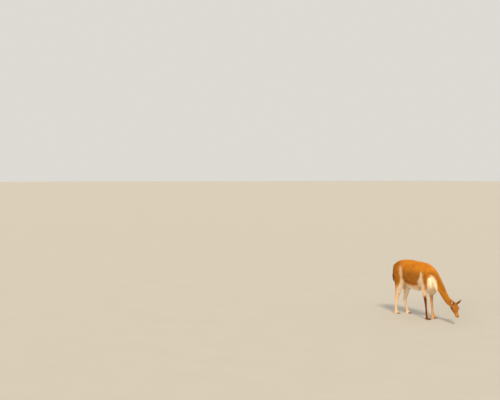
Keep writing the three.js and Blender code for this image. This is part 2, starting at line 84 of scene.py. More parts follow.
# swellings: middle x y z, reach along x y z, and how far the surface moves along x y z
TRUNK_SWELLS = [
    [-505, 110, 640, 95, 80, 120, 0, 20, 0],
    [-25, 110, 610, 70, 80, 110, 0, 13, 0],
    [-330, 110, 470, 45, 70, 60, 0, -20, 12],
    [-75, 100, 455, 35, 60, 50, 0, -15, 8],
]
# neck: x, y, z, degrees below level, degrees to the left, upper half depth, lower half depth, half width
NECK = [
    [-20, 0, 680, 22, 0, 20, 40, 20], [2, 0, 668, 24, 0, 100, 108, 78], [50, 0, 648, 32, 0, 102, 104, 80],
    [108, 0, 610, 43, 0, 92, 84, 72], [165, 1, 556, 50, 0, 79, 68, 62], [220, 3, 488, 54, 0, 70, 57, 54],
    [272, 4, 416, 55, 0, 62, 50, 49], [322, 6, 348, 53, -2, 56, 45, 45], [372, 8, 296, 47, -6, 51, 43, 43],
    [420, 9, 262, 42, -14, 47, 43, 42], [450, 6, 238, 40, -20, 28, 28, 26],
]
# legs: x, y, z, front half, back half, half width, share of the step
FORELEG = [
    [-20, 74, 712, 12, 12, 6, 0], [-18, 75, 690, 44, 46, 22, 0], [-6, 77, 640, 58, 60, 32, 0],
    [8, 78, 580, 62, 66, 38, 0], [0, 78, 522, 56, 60, 40, 0], [-3, 74, 470, 47, 49, 36, 0.1],
    [3, 71, 415, 38, 38, 30, 0.2], [13, 69, 355, 30, 30, 26, 0.4], [23, 67, 300, 24, 25, 23, 0.6],
    [27, 66, 262, 23, 24, 22.5, 0.7], [30, 66, 228, 19.5, 20, 18.5, 0.8], [37, 66, 165, 16.5, 17, 15.5, 0.9],
    [44, 66, 108, 16.5, 18, 15.5, 1], [47, 66, 78, 19, 21, 18.5, 1], [53, 66, 54, 19, 20, 19.5, 1],
    [60, 66, 34, 22, 24, 23, 1], [64, 66, 12, 20, 24, 20, 1],
]
HINDLEG = [
    [-524, 68, 742, 12, 12, 6, 0.12], [-520, 68, 716, 70, 62, 38, 0.12], [-506, 70, 650, 104, 86, 58, 0.15],
    [-488, 72, 585, 112, 96, 66, 0.16], [-474, 75, 522, 102, 98, 62, 0.17], [-466, 77, 462, 82, 90, 53, 0.2],
    [-470, 78, 405, 68, 74, 45, 0.2], [-486, 78, 348, 54, 55, 37, 0.22], [-500, 79, 296, 43, 41, 30, 0.27],
    [-511, 79, 252, 34, 36, 26, 0.27], [-520, 79, 212, 27, 33, 22.5, 0.22],
    [-526, 79, 150, 20.5, 21, 18, 0.4], [-531, 78, 104, 18.5, 19, 16.5, 0.7],
    [-532, 78, 76, 20, 21, 19, 0.9], [-528, 78, 52, 19.5, 20.5, 19.5, 0.97],
    [-522, 78, 34, 22, 24, 23, 1], [-518, 78, 12, 20, 24, 20, 1],
]
# upright cores of tail and chest hair: x, z, front half, back half, half width
TAIL = [
    [-600, 724, 4, 4, 4], [-612, 714, 16, 16, 19], [-628, 690, 17, 15, 23], [-640, 640, 14, 14, 24],
    [-644, 590, 11, 12, 20], [-643, 552, 7, 8, 12], [-642, 536, 2, 2, 4],
]
BIB = [
    [70, 672, 10, 12, 12], [80, 652, 46, 50, 62], [90, 612, 58, 60, 78], [94, 560, 58, 58, 78],
    [90, 510, 50, 52, 68], [82, 466, 32, 38, 46], [78, 440, 10, 12, 14],
]
# head, in its own frame: x towards the lips, top, underside, half width, height of the widest place
HEAD = [
    [-40, 2, -4, 2, 0], [-32, 22, -28, 24, 0], [-8, 37, -41, 38, 2], [20, 46, -48, 44, 4],
    [48, 50, -52, 47, 5], [76, 49, -53, 48, 6], [102, 43, -50, 43, 2], [128, 36, -44, 35, -3],
    [154, 30, -39, 28, -6], [178, 25, -35, 24.5, -7], [200, 21, -32, 23.5, -8], [217, 16, -29, 22, -8],
    [227, 8, -24, 17, -9], [232, -6, -12, 4, -9],
]
HEAD_SWELLS = [
    [88, 36, 34, 26, 14, 12, 0, 7, 4],  # brow
    [104, 42, -6, 26, 16, 12, 0, 5, 0],  # cheekbone
    [46, 36, -24, 34, 20, 26, 0, 5, -2],  # jaw muscle
    [90, 46, 16, 13, 16, 11, 0, -5, 0],  # eye socket
    [212, 14, 2, 14, 12, 12, 2, 4, 3],  # nostril's side
    [198, 16, -16, 26, 14, 8, 0, 3, 0],  # upper lip
    [204, 0, -34, 16, 14, 8, 2, 0, -4],  # chin
]
MOUTH_LINE = [[156, -18], [174, -20], [196, -18], [214, -14.5], [240, -13]]
NOSTRIL = ([227.0, 8.5, -3.0], [213.0, 17.5, 9.0])
TEAR_GROOVE = ([106, 47, 8], [130, 37, -3])
TEAR_STAIN = ([104, 47, 8], [132, 36, -4])
EARS = {
    "left": ([-0.5, 0.62, 0.3], [0.2, 0.8, -0.9]),
    "right": ([0.1, -0.3, 0.85], [0.8, 0.05, 0.5]),
}
# ear: share of its length, half width, depth of the cup, bend towards the opening
EAR = [
    [-0.12, 11, 11, 0], [0, 14, 13, 0], [0.14, 18, 14, 0], [0.32, 20.5, 13, 1], [0.52, 19, 11, 2],
    [0.7, 14.5, 8, 2], [0.86, 8.5, 5, 0], [0.96, 3.8, 3, -2], [1, 1.2, 1.4, -3],
]
# toe: share of its length, width, height, how far outwards; nail: share of the length, width, top, underside
TOE_ROWS = [
    [-0.42, 0.4, 0.3, 0], [-0.38, 0.85, 0.8, 0], [-0.15, 1, 1, 0], [0.15, 1, 0.88, 0.3],
    [0.38, 0.84, 0.62, 0.6], [0.52, 0.5, 0.34, 0.85],
]
NAIL_ROWS = [
    [0.3, 0.6, 17, 1.5], [0.34, 0.76, 19.5, 1.5], [0.5, 0.6, 14.5, 1.2], [0.64, 0.38, 8, 1],
    [0.71, 0.12, 3.4, 1],
]

# markings drawn in side view: x and z of closed outlines that hold the cream parts
CREAM_FLANK = [
    [-402, 735], [-386, 705], [-367, 660], [-357, 605], [-353, 548], [-348, 500], [-322, 478], [-235, 466],
    [-163, 458], [-115, 466], [-78, 508], [-46, 555], [-26, 600], [-14, 645], [-6, 676], [5, 641],
    [14, 600], [22, 558], [27, 501], [28, 440], [12, 380], [-60, 300], [-400, 280], [-500, 330],
    [-470, 400], [-436, 449], [-414, 520], [-411, 590], [-412, 640], [-417, 690],
]
CREAM_CHEST = [
    [64, 560], [84, 608], [113, 626], [146, 624], [178, 602], [206, 567], [228, 522], [232, 482],
    [205, 430], [150, 330], [40, 300], [52, 450], [60, 500],
]
# painted shade of the creases in front of the thigh and behind the elbow: dark marks, in the middle plane
GROIN_CREASE_SHADE = [[-340, 0, 520], [-352, 0, 484], [-385, 0, 446]]
ELBOW_CREASE_SHADE = [-84, 0, 442]
# painted shadow of the ear: a dark spot behind it, in the head's frame
NAPE_SHADE = [4, 38, 22]

# depth of the short hair and what the wool of trunk and neck adds to it
SHORT_HAIR = 2.6
WOOL = 7.4


def smooth(value):
    """0 below 0, 1 above 1, and a smooth S between."""
    t = np.clip(value, 0, 1)
    return t * t * (3 - 2 * t)


def ramp(value, start, end):
    """0 before start, 1 past end and a smooth S between. Start may be the higher of the two."""
    return smooth((value - start) / (end - start))


def bell(value, width):
    """1 at 0, and fading to both sides as a bell curve."""
    return np.exp(-(value / width) ** 2)


def unit(vectors):
    """The vectors with length 1."""
    return vectors / np.maximum(np.linalg.norm(vectors, axis=-1, keepdims=True), 1e-9)


def side_of(points):
    """1 on the left and -1 on the right."""
    return np.where(points[..., 1] < 0, -1.0, 1.0)


def folded(points):
    """The points with both sides alike: y is counted from the middle plane."""
    return points * (X + Z) + np.abs(points) * Y


def unfolding(points):
    """Factors that turn a move on the left side into the move on each point's own side."""
    return X + Z + side_of(points)[..., None] * Y


def turn_about(axis, degrees):
    """Matrix of a turn about the x, y or z axis, by the right-hand rule."""
    c, s = math.cos(math.radians(degrees)), math.sin(math.radians(degrees))
    i, j = (axis + 1) % 3, (axis + 2) % 3
    matrix = np.eye(3)
    matrix[i, i] = matrix[j, j] = c
    matrix[i, j], matrix[j, i] = -s, s
    return matrix


LID_SLANT = X - 0.25 * Z
LID_LONG = unit(LID_SLANT - LID_SLANT @ EYE_OUT * EYE_OUT)
LID_HIGH = np.cross(EYE_OUT, LID_LONG)
HEAD_TURN = turn_about(2, HEAD_YAW) @ turn_about(1, HEAD_PITCH) @ turn_about(0, HEAD_ROLL)
EYE_BOXES = np.array([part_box(f"eye_{word}") for word in SIDES])
SHIFT = np.round(EYE_BOXES.mean(axis=(0, 1)) * 1000 - (HEAD_TURN @ (EYE_AT * [1, 0, 1]) + HEAD_AT), 1)


def from_head(points):
    """Points of the head's own frame, in the plan frame."""
    return points @ HEAD_TURN.T + HEAD_AT


def to_head(points):
    """Points of the plan frame, in the head's own frame."""
    return (points - HEAD_AT) @ HEAD_TURN


def rows_at(table, u):
    """Rows of a table at places u, counted in rows, on a cubic curve through all rows whose slope at a row is
    half the step between its neighbours."""
    table = np.asarray(table, float)
    last = len(table) - 1
    i = np.clip(np.floor(u).astype(int), 0, last - 1)
    t = (u - i)[..., None]
    p0, p1, p2, p3 = (table[np.clip(i + k, 0, last)] for k in (-1, 0, 1, 2))
    start, end, step = (p2 - p0) / 2, (p3 - p1) / 2, p2 - p1
    return p1 + t * (start + t * (3 * step - 2 * start - end + t * (start + end - 2 * step)))


def columns(row):
    """The columns of rows of numbers, one by one."""
    return np.moveaxis(row, -1, 0)


def upright_frame(row, form):
    """Ring across the body: centre, up, side and the half axes above, below and to the side."""
    x, top, belly, half, middle = columns(row)
    return np.stack([x, 0 * x, middle], -1), Z, Y, top - middle, middle - belly, half


def neck_frame(row, form):
    """Ring square to the neck: up leans forward by the neck's slope and turns with it."""
    x, y, z, down, left, over, under, half = columns(row)
    down, left = np.radians(down), np.radians(left)
    up = np.stack([np.sin(down) * np.cos(left), np.sin(down) * np.sin(left), np.cos(down)], -1)
    side = np.stack([-np.sin(left), np.cos(left), 0 * left], -1)
    return np.stack([x, y, z], -1), up, side, over, under, half


def leg_frame(row, form):
    """Level ring of a leg, stepped forward by its share."""
    x, y, z, front, back, half, share = columns(row)
    return np.stack([x + share * form["step"], form["side"] * y, z], -1), X, Y, front, back, half


def core_frame(row, form):
    """Level ring of an upright core in the middle plane."""
    x, z, front, back, half = columns(row)
    return np.stack([x, 0 * x, z], -1), X, Y, front, back, half


def toe_frame(row, form):
    """Ring across a toe, flat towards the sole."""
    along, wide, tall, out = columns(row)
    height = TOE["height"] * tall
    centre = np.stack([
        form["x"] + along * TOE["length"], form["y"] + form["splay"] * out * 2.5, 0.42 * height], -1)
    return centre, Z, Y, height * 0.58, height, TOE["half"] * wide


def nail_frame(row, form):
    """Ring across a nail between its top and underside."""
    along, wide, top, low = columns(row)
    centre = np.stack([
        form["x"] + along * TOE["length"], form["y"] + form["splay"] * 2.5 + 0 * along, (top + low) / 2], -1)
    return centre, Z, Y, (top - low) / 2, (top - low) / 2, TOE["half"] * wide


def legs():
    """The four legs' forms. One hind leg has stepped forward, and the forelegs are slightly staggered."""
    made = {}
    for word, side in SIDES.items():
        made[f"foreleg_{word}"] = dict(
            table=FORELEG, frame=leg_frame, side=side, step=-side * FORE_STAGGER, square=1.0)
        made[f"hindleg_{word}"] = dict(
            table=HINDLEG, frame=leg_frame, side=side, step=STRIDE if side > 0 else 0, square=1.0)
    return made


LEGS = legs()


def toes(rows, frame_of, square):
    """One form for each of the eight toes, or for its nail."""
    made = {}
    for leg, form in LEGS.items():
        foot = form["table"][-1]
        for word, splay in SIDES.items():
            made[f"{leg}_{word}"] = dict(
                table=rows, frame=frame_of, square=square, splay=splay, x=foot[0] + form["step"] + FOOT_REACH,
                y=form["side"] * foot[1] + splay * TOE["apart"])
    return made


TRUNK_FORM = dict(table=TRUNK, frame=upright_frame, swells=TRUNK_SWELLS, square=1.06)
NECK_FORM = dict(table=NECK, frame=neck_frame, square=1.0)
HEAD_FORM = dict(table=HEAD, frame=upright_frame, swells=HEAD_SWELLS, square=1.05)
TAIL_FORM = dict(table=TAIL, frame=core_frame, square=1.0)
BIB_FORM = dict(table=BIB, frame=core_frame, square=1.0)
TOES = toes(TOE_ROWS, toe_frame, 1.15)
NAILS = toes(NAIL_ROWS, nail_frame, 1.2)


def swollen(points, swells):
    """Points moved by swellings that fade as a bell curve, alike on both sides."""
    moved = points.copy()
    for swell in np.asarray(swells, float):
        off = (folded(points) - swell[:3]) / swell[3:6]
        moved += np.exp(-(off ** 2).sum(-1))[..., None] * swell[6:] * unfolding(points)
    return moved


def surface(form, u, angle, grow=0.0):
    """Points of a form at rows u and angles: an oval with its own half axes, where square over 1 fills the
    corners, moved by the form's swellings."""
    centre, up, side, over, under, half = form["frame"](rows_at(form["table"], u), form)
    c, s = np.cos(angle), np.sin(angle)
    power = 1 / form["square"]
    across = np.sign(c) * np.abs(c) ** power * np.maximum(half + grow, 0.3)
    along = np.sign(s) * np.abs(s) ** power * np.maximum(np.where(s > 0, over, under) + grow, 0.3)
    points = centre + side * across[..., None] + up * along[..., None]
    return swollen(points, form["swells"]) if "swells" in form else points


def ear_directions(word):
    """Directions of an ear in the head's frame: along it, out of its opening and across it."""
    along, opening = (unit(np.array(v)) for v in EARS[word])
    opening = unit(opening - opening @ along * along)
    return along, opening, np.cross(along, opening)


def ear_surface(word, share, around, grow=0.0):
    """Points of an ear in the plan frame. Around runs from 0 to 1 over its back, from edge to edge, and from 1
    to 2 over the inside of its cup: two half ovals, the inner one nearer the edge line."""
    along, opening, across = ear_directions(word)
    place, half, deep, bend = columns(rows_at(EAR, share))
    half, deep = np.maximum(half + grow, 0.5), np.maximum(deep + grow, 0.6)
    thick = np.minimum(3, half * 0.45)
    cup = ramp(place, 0.02, 0.2)
    inner = -0.6 * deep * (1 - cup) + np.maximum(deep - thick, 0.3 * deep) * cup
    back = around < 1
    angle = np.pi * np.where(back, around, 2 - around)
    wide = np.where(back, half, half - thick * 0.7)
    depth = np.where(back, deep, inner)
    root = EAR_ROOT * [1, SIDES[word], 1]
    points = (root + along * (place * EAR_LENGTH)[..., None] + opening * bend[..., None]
              + across * (wide * np.cos(angle))[..., None] - opening * (depth * np.sin(angle))[..., None])
    return from_head(points)


def grid(rows, along, around):
    """Even places over a table and even angles round it, as two grids."""
    u = np.linspace(0, rows - 1, along)
    angle = (np.arange(around) + 0.5) * 2 * np.pi / around
    return np.meshgrid(u, angle, indexing="ij")


def closed(rings):
    """Vertices and faces of a closed surface over rings of points, each end drawn to the middle of its ring,
    with the faces turned outwards."""
    n, m = rings.shape[:2]
    points = np.concatenate([rings.reshape(-1, 3), rings[0].mean(0)[None], rings[-1].mean(0)[None]])
    j = np.arange(m)
    nxt = (j + 1) % m
    row = (np.arange(n - 1) * m)[:, None]
    quads = np.stack([row + j, row + nxt, row + m + nxt, row + m + j], -1).reshape(-1, 4)
    caps = np.concatenate([np.stack([0 * j + n * m, nxt, j], -1),
                           np.stack([0 * j + n * m + 1, (n - 1) * m + j, (n - 1) * m + nxt], -1)])
    a, b, c, d = (points[quads[:, k]] for k in range(4))
    volume = (a * np.cross(b, c)).sum() + (a * np.cross(c, d)).sum()
    if volume < 0:
        quads, caps = quads[:, ::-1], caps[:, ::-1]
    return points, quads, caps


def new_object(name, data):
    """A new object in the scene."""
    made = bpy.data.objects.new(name, data)
    bpy.context.scene.collection.objects.link(made)
    return made


def metres(points):
    """Plan millimetres as a flat list of the solids' metres."""
    return ((points + SHIFT) / 1000).astype(np.float32).ravel()


def mesh_object(name, points, quads=None, triangles=None):
    """A new smooth mesh object from points in plan millimetres and arrays of faces."""
    mesh = bpy.data.meshes.new(name)
    faces = [f for f in (quads, triangles) if f is not None and len(f)]
    corners = np.concatenate([f.ravel() for f in faces])
    counts = np.concatenate([np.full(len(f), f.shape[1]) for f in faces])
    mesh.vertices.add(len(points))
    mesh.vertices.foreach_set("co", metres(points))
    mesh.loops.add(len(corners))
    mesh.loops.foreach_set("vertex_index", corners.astype(np.int32))
    mesh.polygons.add(len(counts))
    mesh.polygons.foreach_set("loop_start", np.concatenate([[0], np.cumsum(counts)[:-1]]).astype(np.int32))
    mesh.update(calc_edges=True)
    mesh.shade_smooth()
    return new_object(name, mesh)


def stacked(shapes):
    """Several closed shapes as one set of points, quads and triangles."""
    starts = np.cumsum([0] + [len(points) for points, _, _ in shapes[:-1]])
    points = np.concatenate([shape[0] for shape in shapes])
    quads = np.concatenate([shape[1] + start for shape, start in zip(shapes, starts)])
    triangles = np.concatenate([shape[2] + start for shape, start in zip(shapes, starts)])
    return points, quads, triangles


def loft(form, along, around, grow=0.0):
    """A form as a closed shape, with so many rings along it and points round it."""
    u, angle = grid(len(form["table"]), along, around)
    return closed(surface(form, u, angle, grow))


def finished_mesh(made):
    """Applies an object's modifiers."""
    mesh = bpy.data.meshes.new_from_object(made.evaluated_get(bpy.context.evaluated_depsgraph_get()))
    old = made.data
    made.modifiers.clear()
    made.data = mesh
    bpy.data.meshes.remove(old)
    return made


def places_and_normals(made):
    """A mesh's vertices in plan millimetres, and its vertex normals."""
    mesh = made.data
    points, normals = np.empty((2, len(mesh.vertices) * 3), np.float32)
    mesh.vertices.foreach_get("co", points)
    mesh.vertex_normals.foreach_get("vector", normals)
    return points.reshape(-1, 3) * 1000.0 - SHIFT, normals.reshape(-1, 3).astype(float)


def set_places(made, points):
    """Moves a mesh's vertices to places in plan millimetres."""
    made.data.vertices.foreach_set("co", metres(points))
    made.data.update()


def side_mask(points, outline, soft):
    """1 inside a closed outline drawn in side view and 0 outside, from the distance to its nearest edge."""
    start = np.asarray(outline, float)
    edge = np.roll(start, -1, 0) - start
    place = points[:, None, [0, 2]]
    share = np.clip(((place - start) * edge).sum(-1) / (edge ** 2).sum(-1), 0, 1)
    distance = np.linalg.norm(place - start - share[..., None] * edge, axis=-1).min(1)
    above = start[:, 1] > place[..., 1]
    end_above = start[:, 1] + edge[:, 1] > place[..., 1]
    slope = edge[:, 0] / np.where(edge[:, 1] == 0, 1e-9, edge[:, 1])
    crossing = place[..., 0] < start[:, 0] + slope * (place[..., 1] - start[:, 1])
    inside = ((above != end_above) & crossing).sum(1) % 2 == 1
    return smooth(np.where(inside, distance, -distance) / soft * 0.5 + 0.5)


def lid_place(local):
    """Places round the eye: distance from its middle in units of the lids' opening, height out of the head
    from the eyeball's middle, and the same distance along and across the lids."""
    off = folded(local) - EYE_AT
    reach = np.stack([off @ LID_LONG, off @ LID_HIGH], -1) / LID_HALF
    return np.linalg.norm(reach, axis=-1), off @ EYE_OUT, reach


def segment_distance(points, start, end):
    """Distance of each point from a straight segment."""
    start, end = np.asarray(start, float), np.asarray(end, float)
    share = np.clip((points - start) @ (end - start) / ((end - start) ** 2).sum(), 0, 1)
    return np.linalg.norm(points - start - share[..., None] * (end - start), axis=-1)


def face_places(points):
    """Distances on the face, in its own frame: from the nostril's slit and above the mouth's line, and the
    points with both sides alike."""
    local = folded(points)
    line = np.asarray(MOUTH_LINE, float)
    above = local[..., 2] - np.interp(local[..., 0], line[:, 0], line[:, 1])
    return segment_distance(local, *NOSTRIL), above, local


def body_marks_and_shade(points, normals):
    """Cream and dark shares of the coat on trunk, neck and legs; the dark share also holds painted shade."""
    x, z = points[:, 0], points[:, 2]
    outward = normals[:, 1] * side_of(points)
    outer, hind = ramp(outward, 0, 0.4), ramp(x, -350, -390)
    wave = 5 * np.sin(x / 23 + z / 31) + 4 * np.sin(z / 13 - x / 17)
    waved = points + wave[:, None] * X
    stripe = ramp(x, -335, -355) * ramp(z, 490, 550)
    flank = side_mask(waved, CREAM_FLANK, 14) * (1 - 0.3 * stripe)
    chest = side_mask(waved, CREAM_CHEST, 16) * (x > 40)
    belly = ramp(normals[:, 2], -0.45, -0.85) * ramp(z, 505, 455) * ramp(x, -560, -500)
    inner = ramp(outward, 0.05, -0.45) * ramp(z, 600, 520) * (np.abs(points[:, 1]) < 110)
    inner *= 0.9 * hind + (1 - hind) * (0.3 + 0.6 * ramp(z, 320, 410))
    low = ramp(z, 460, 350) * (0.76 * hind + 0.28 * (1 - hind)) * (x < 180)
    seat = 0.4 * ramp(x, -560, -600) * ramp(z, 560, 480)
    forearm = 0.8 * ramp(z, 440, 410) * ramp(z, 322, 357) * ramp(x, -60, -20) * ramp(x, 150, 110)
    cream = np.maximum.reduce([flank, chest, belly, inner, low, seat, forearm])
    shoulder = bell(x - 48, 22) * ramp(z, 620, 560) * ramp(z, 425, 465) * outer
    cream *= 1 - 0.85 * shoulder * (np.abs(points[:, 1]) > 45)
    # painted shade: the rump, the lower flanks and the sides of the neck towards the head are darkened towards
    # brown
    rump_shade = (0.38 * ramp(x, -400, -490) + 0.6 * ramp(x, -520, -590)) * ramp(z, 400, 490)
    sides = 0.42 * outer * ramp(z, 440, 490) * ramp(z, 725, 605)
    neck = 0.4 * ramp(x, 235, 295) * ramp(outward, -0.3, 0.3)
    # the outer forelegs turn dark brown below the forearm: partly their own brown, partly painted shade
    shin_brown_and_shade = 0.95 * outer * ramp(z, 350, 305) * ramp(x, -80, -40) * ramp(x, 140, 100)
    # painted shade: dark marks in the creases in front of the thigh and behind the elbow, which also take the
    # cream away there
    profile = points * (X + Z)
    groin = np.minimum(*(segment_distance(profile, *ends) for ends in zip(GROIN_CREASE_SHADE, GROIN_CREASE_SHADE[1:])))
    elbow = np.linalg.norm(profile - ELBOW_CREASE_SHADE, axis=1)
    crease_shade_and_shin = np.maximum(shin_brown_and_shade, 0.6 * np.maximum(bell(groin, 15), bell(elbow, 21)))
    dark = np.maximum(np.maximum.reduce([rump_shade, sides, neck]) * (1 - cream), crease_shade_and_shin)
    return cream * (1 - crease_shade_and_shin), dark


def face_marks(head, facing):
    """Cream and dark shares on the face, from places and directions in the head's frame."""
    x = head[:, 0]
    nostril, above, local = face_places(head)
    rim = lid_place(head)[0]
    throat = 0.4 * ramp(facing[:, 2], -0.25, -0.75)
    muzzle = ramp(x, 150, 190) * (0.1 + 0.7 * ramp(above, -2, -8))
    ring = 0.12 * bell(rim - 1.75, 0.4)
    cheek = 0.08 * bell(x - 70, 45) * bell(head[:, 2] + 22, 22)
    bridge = 0.4 * ramp(facing[:, 2], 0.1, 0.7) * ramp(x, -10, 40)
    tear = 0.5 * bell(segment_distance(local, *TEAR_STAIN), 4)
    mouth = 0.9 * bell(above, 2.3) * ramp(x, 156, 164)
    edges = np.maximum.reduce([ramp(rim, 1.32, 1.1), ramp(nostril, 5.8, 3.4), mouth])
    cream = np.maximum.reduce([throat, muzzle, ring, cheek]) * (1 - edges)
    return cream, np.maximum(0.5, np.maximum.reduce([bridge, tear, edges]))


def ear_marks(word, head, facing, cream, dark):
    """The shares with an ear's own put in: pale inside, and dark at its edge, on its tip and on its back."""
    along, opening, across = ear_directions(word)
    off = head - EAR_ROOT * [1, SIDES[word], 1]
    share = off @ along / EAR_LENGTH
    beside = np.linalg.norm(off - (off @ along)[:, None] * along, axis=1)
    on_ear = (share > 0.02) & (share < 1.15) & (beside < 26)
    half = np.interp(share, *np.transpose(EAR)[:2])
    edge = ramp(np.abs(off @ across) / half, 0.68, 0.84)
    pale = ramp(facing @ opening, 0.1, 0.5) * (1 - edge)
    shade = np.maximum(0.95 * edge, 0.72 + 0.23 * ramp(share, 0.55, 0.95)) * (1 - 0.9 * pale)
    return np.where(on_ear, 0.85 * pale, cream), np.where(on_ear, shade, dark)


def markings(points, normals):
    """Cream and dark shares of the coat at places in the plan frame, from its own outlines and directions; the
    dark share also holds painted shade.
    """
    head, facing = to_head(points), normals @ HEAD_TURN
    on_face = ramp(head[:, 0], -4, 22) * (np.linalg.norm(head - 100 * X, axis=1) < 190)
    pairs = zip(body_marks_and_shade(points, normals), face_marks(head, facing))
    cream, dark = (body * (1 - on_face) + face * on_face for body, face in pairs)
    # painted shadow of the ear, as a dark spot behind it
    dark = np.maximum(dark, 0.85 * bell(np.linalg.norm(folded(head) - NAPE_SHADE, axis=1), 24))
    for word in SIDES:
        cream, dark = ear_marks(word, head, facing, cream, dark)
    return np.clip(cream, 0, 1), np.clip(dark, 0, 1)


def coat_depth(points):
    """How far the skin lies under the coat's outside: most on trunk and neck, little on legs and head."""
    wool = np.where(points[:, 0] > 200, 1, ramp(points[:, 2], 330, 490))
    off_head = ramp(np.linalg.norm(points - HEAD_AT, axis=1), 40, 190)
    return (SHORT_HAIR + WOOL * wool) * off_head + SHORT_HAIR * (1 - off_head)


def head_rings():
    """The bare head: its oval rings, sunk by the coat's depth, with eye openings between raised lids, nostril
    slits with soft rims, a mouth line between lips and a cleft upper lip."""
    rings = surface(HEAD_FORM, *grid(len(HEAD), 210, 240))
    ahead = np.gradient(rings, axis=0)
    around = np.roll(rings, -1, 1) - np.roll(rings, 1, 1)
    out = unit(np.cross(around, ahead))
    out *= np.sign((out * (rings - rings.mean(1, keepdims=True))).sum(-1).mean())
    nostril, above, local = face_places(rings)
    x = rings[..., 0]
    sunk = -SHORT_HAIR + 1.6 * ramp(x, 190, 215)
    slit = -7.5 * bell(nostril, 3.3) + 1.4 * bell(nostril - 6.2, 2.2) * (x > 200)
    mouth = -3.4 * bell(above, 1.5) + 1.3 * bell(above - 4.6, 3) + 1.1 * bell(above + 4.8, 3)
    mouth *= ramp(x, 153, 162)
    cleft = -2.6 * bell(rings[..., 1], 1.5) * ramp(x, 212, 222) * (above > 0)
    jaw = -1.4 * bell(above + 17, 6) * ramp(x, 60, 120) * ramp(x, 190, 160)
    tear = -1.1 * bell(segment_distance(local, *TEAR_GROOVE), 3.5)
    rings = rings + out * (sunk + slit + mouth + cleft + jaw + tear)[..., None]
    return from_head(rings + lid_moves(rings, x))


def lid_moves(rings, x):
    """Moves along the gaze that draw the head to the lids round each eye: a margin close on the ball, a raised
    roll with a fold behind it, and a hollow under the ball inside the opening."""
    rim, height, reach = lid_place(rings)
    ball = EYE_RADIUS ** 2 - ((reach * LID_HALF) ** 2).sum(-1) / np.maximum(rim, 1) ** 2
    margin = np.sqrt(np.maximum(ball, 4)) + 1.3
    roll = 1.5 * bell(rim - 1.2, 0.16) - 1.3 * bell(rim - 1.58, 0.14)
    target = np.where(rim < 1, 2.0 + (margin - 2.0) * ramp(rim, 0.86, 1), margin + roll)
    hold = ramp(rim, 2.0, 1.25) * (height > -4) * (np.abs(x - EYE_AT[0]) < 40)
    return EYE_OUT * unfolding(rings) * ((target - height) * hold)[..., None]


def joined(base, others):
    """Unions other closed objects into a closed object and removes them."""
    for other in others:
        cut = base.modifiers.new("join", "BOOLEAN")
        cut.operation, cut.solver, cut.object = "UNION", "MANIFOLD", other
        finished_mesh(base)
        bpy.data.objects.remove(other)


def store(made, name, *values):
    """Stores four values on every vertex, as a colour."""
    layer = made.data.attributes.new(name, "FLOAT_COLOR", "POINT")
    layer.data.foreach_set("color", np.stack(values, -1).astype(np.float32).ravel())


def set_marks(made, cream, dark, chance, tip):
    """Stores the coat's markings with its painted shade: cream, dark, a chance value and the place from root
    to tip.
    """
    store(made, "coat_marks_and_shade", cream, dark, chance, tip)


def linear(hex_colour):
    """An sRGB hex colour as linear red, green and blue."""
    parts = [int(hex_colour[i:i + 2], 16) / 255 for i in (1, 3, 5)]
    return tuple(c / 12.92 if c <= 0.04045 else ((c + 0.055) / 1.055) ** 2.4 for c in parts)


def add_node(tree, kind, settings=None, links=None):
    """Adds a node. Settings are properties by name or input values by number, and links give the output
    socket that feeds an input."""
    node = tree.nodes.new(kind)
    for key, value in (settings or {}).items():
        if isinstance(key, int):
            node.inputs[key].default_value = value
        else:
            setattr(node, key, value)
    for key, source in (links or {}).items():
        tree.links.new(source, node.inputs[key])
    return node


def new_material(name):
    """An empty material and its node tree."""
    material = bpy.data.materials.new(name)
    material.use_nodes = True
    material.node_tree.nodes.clear()
    return material, material.node_tree


def mixed(tree, factor, first, second):
    """Colour between two others. Each may be a colour or a socket."""
    settings = {"data_type": "RGBA"}
    links = {}
    for key, value in ((0, factor), (6, first), (7, second)):
        if isinstance(value, bpy.types.NodeSocket):
            links[key] = value
        else:
            settings[key] = value if key == 0 else (*value, 1)
    return add_node(tree, "ShaderNodeMix", settings, links).outputs[2]


def object_place(tree):
    """The object's own coordinates."""
    return add_node(tree, "ShaderNodeTexCoord").outputs["Object"]


def noise(tree, place, scale, detail):
    """Value of a noise at a place."""
    return add_node(tree, "ShaderNodeTexNoise", {2: scale, 3: detail}, {0: place}).outputs[0]


def mapped(tree, value, low, high, start=0.0, end=1.0):
    """A value between low and high, stretched to run from start to end."""
    return add_node(tree, "ShaderNodeMapRange", {1: low, 2: high, 3: start, 4: end}, {0: value}).outputs[0]


def principled(tree, links):
    """Adds the surface shader, fed by the links, and joins it to the material's output."""
    shader = add_node(tree, "ShaderNodeBsdfPrincipled", None, links)
    add_node(tree, "ShaderNodeOutputMaterial", None, {0: shader.outputs[0]})
    return shader


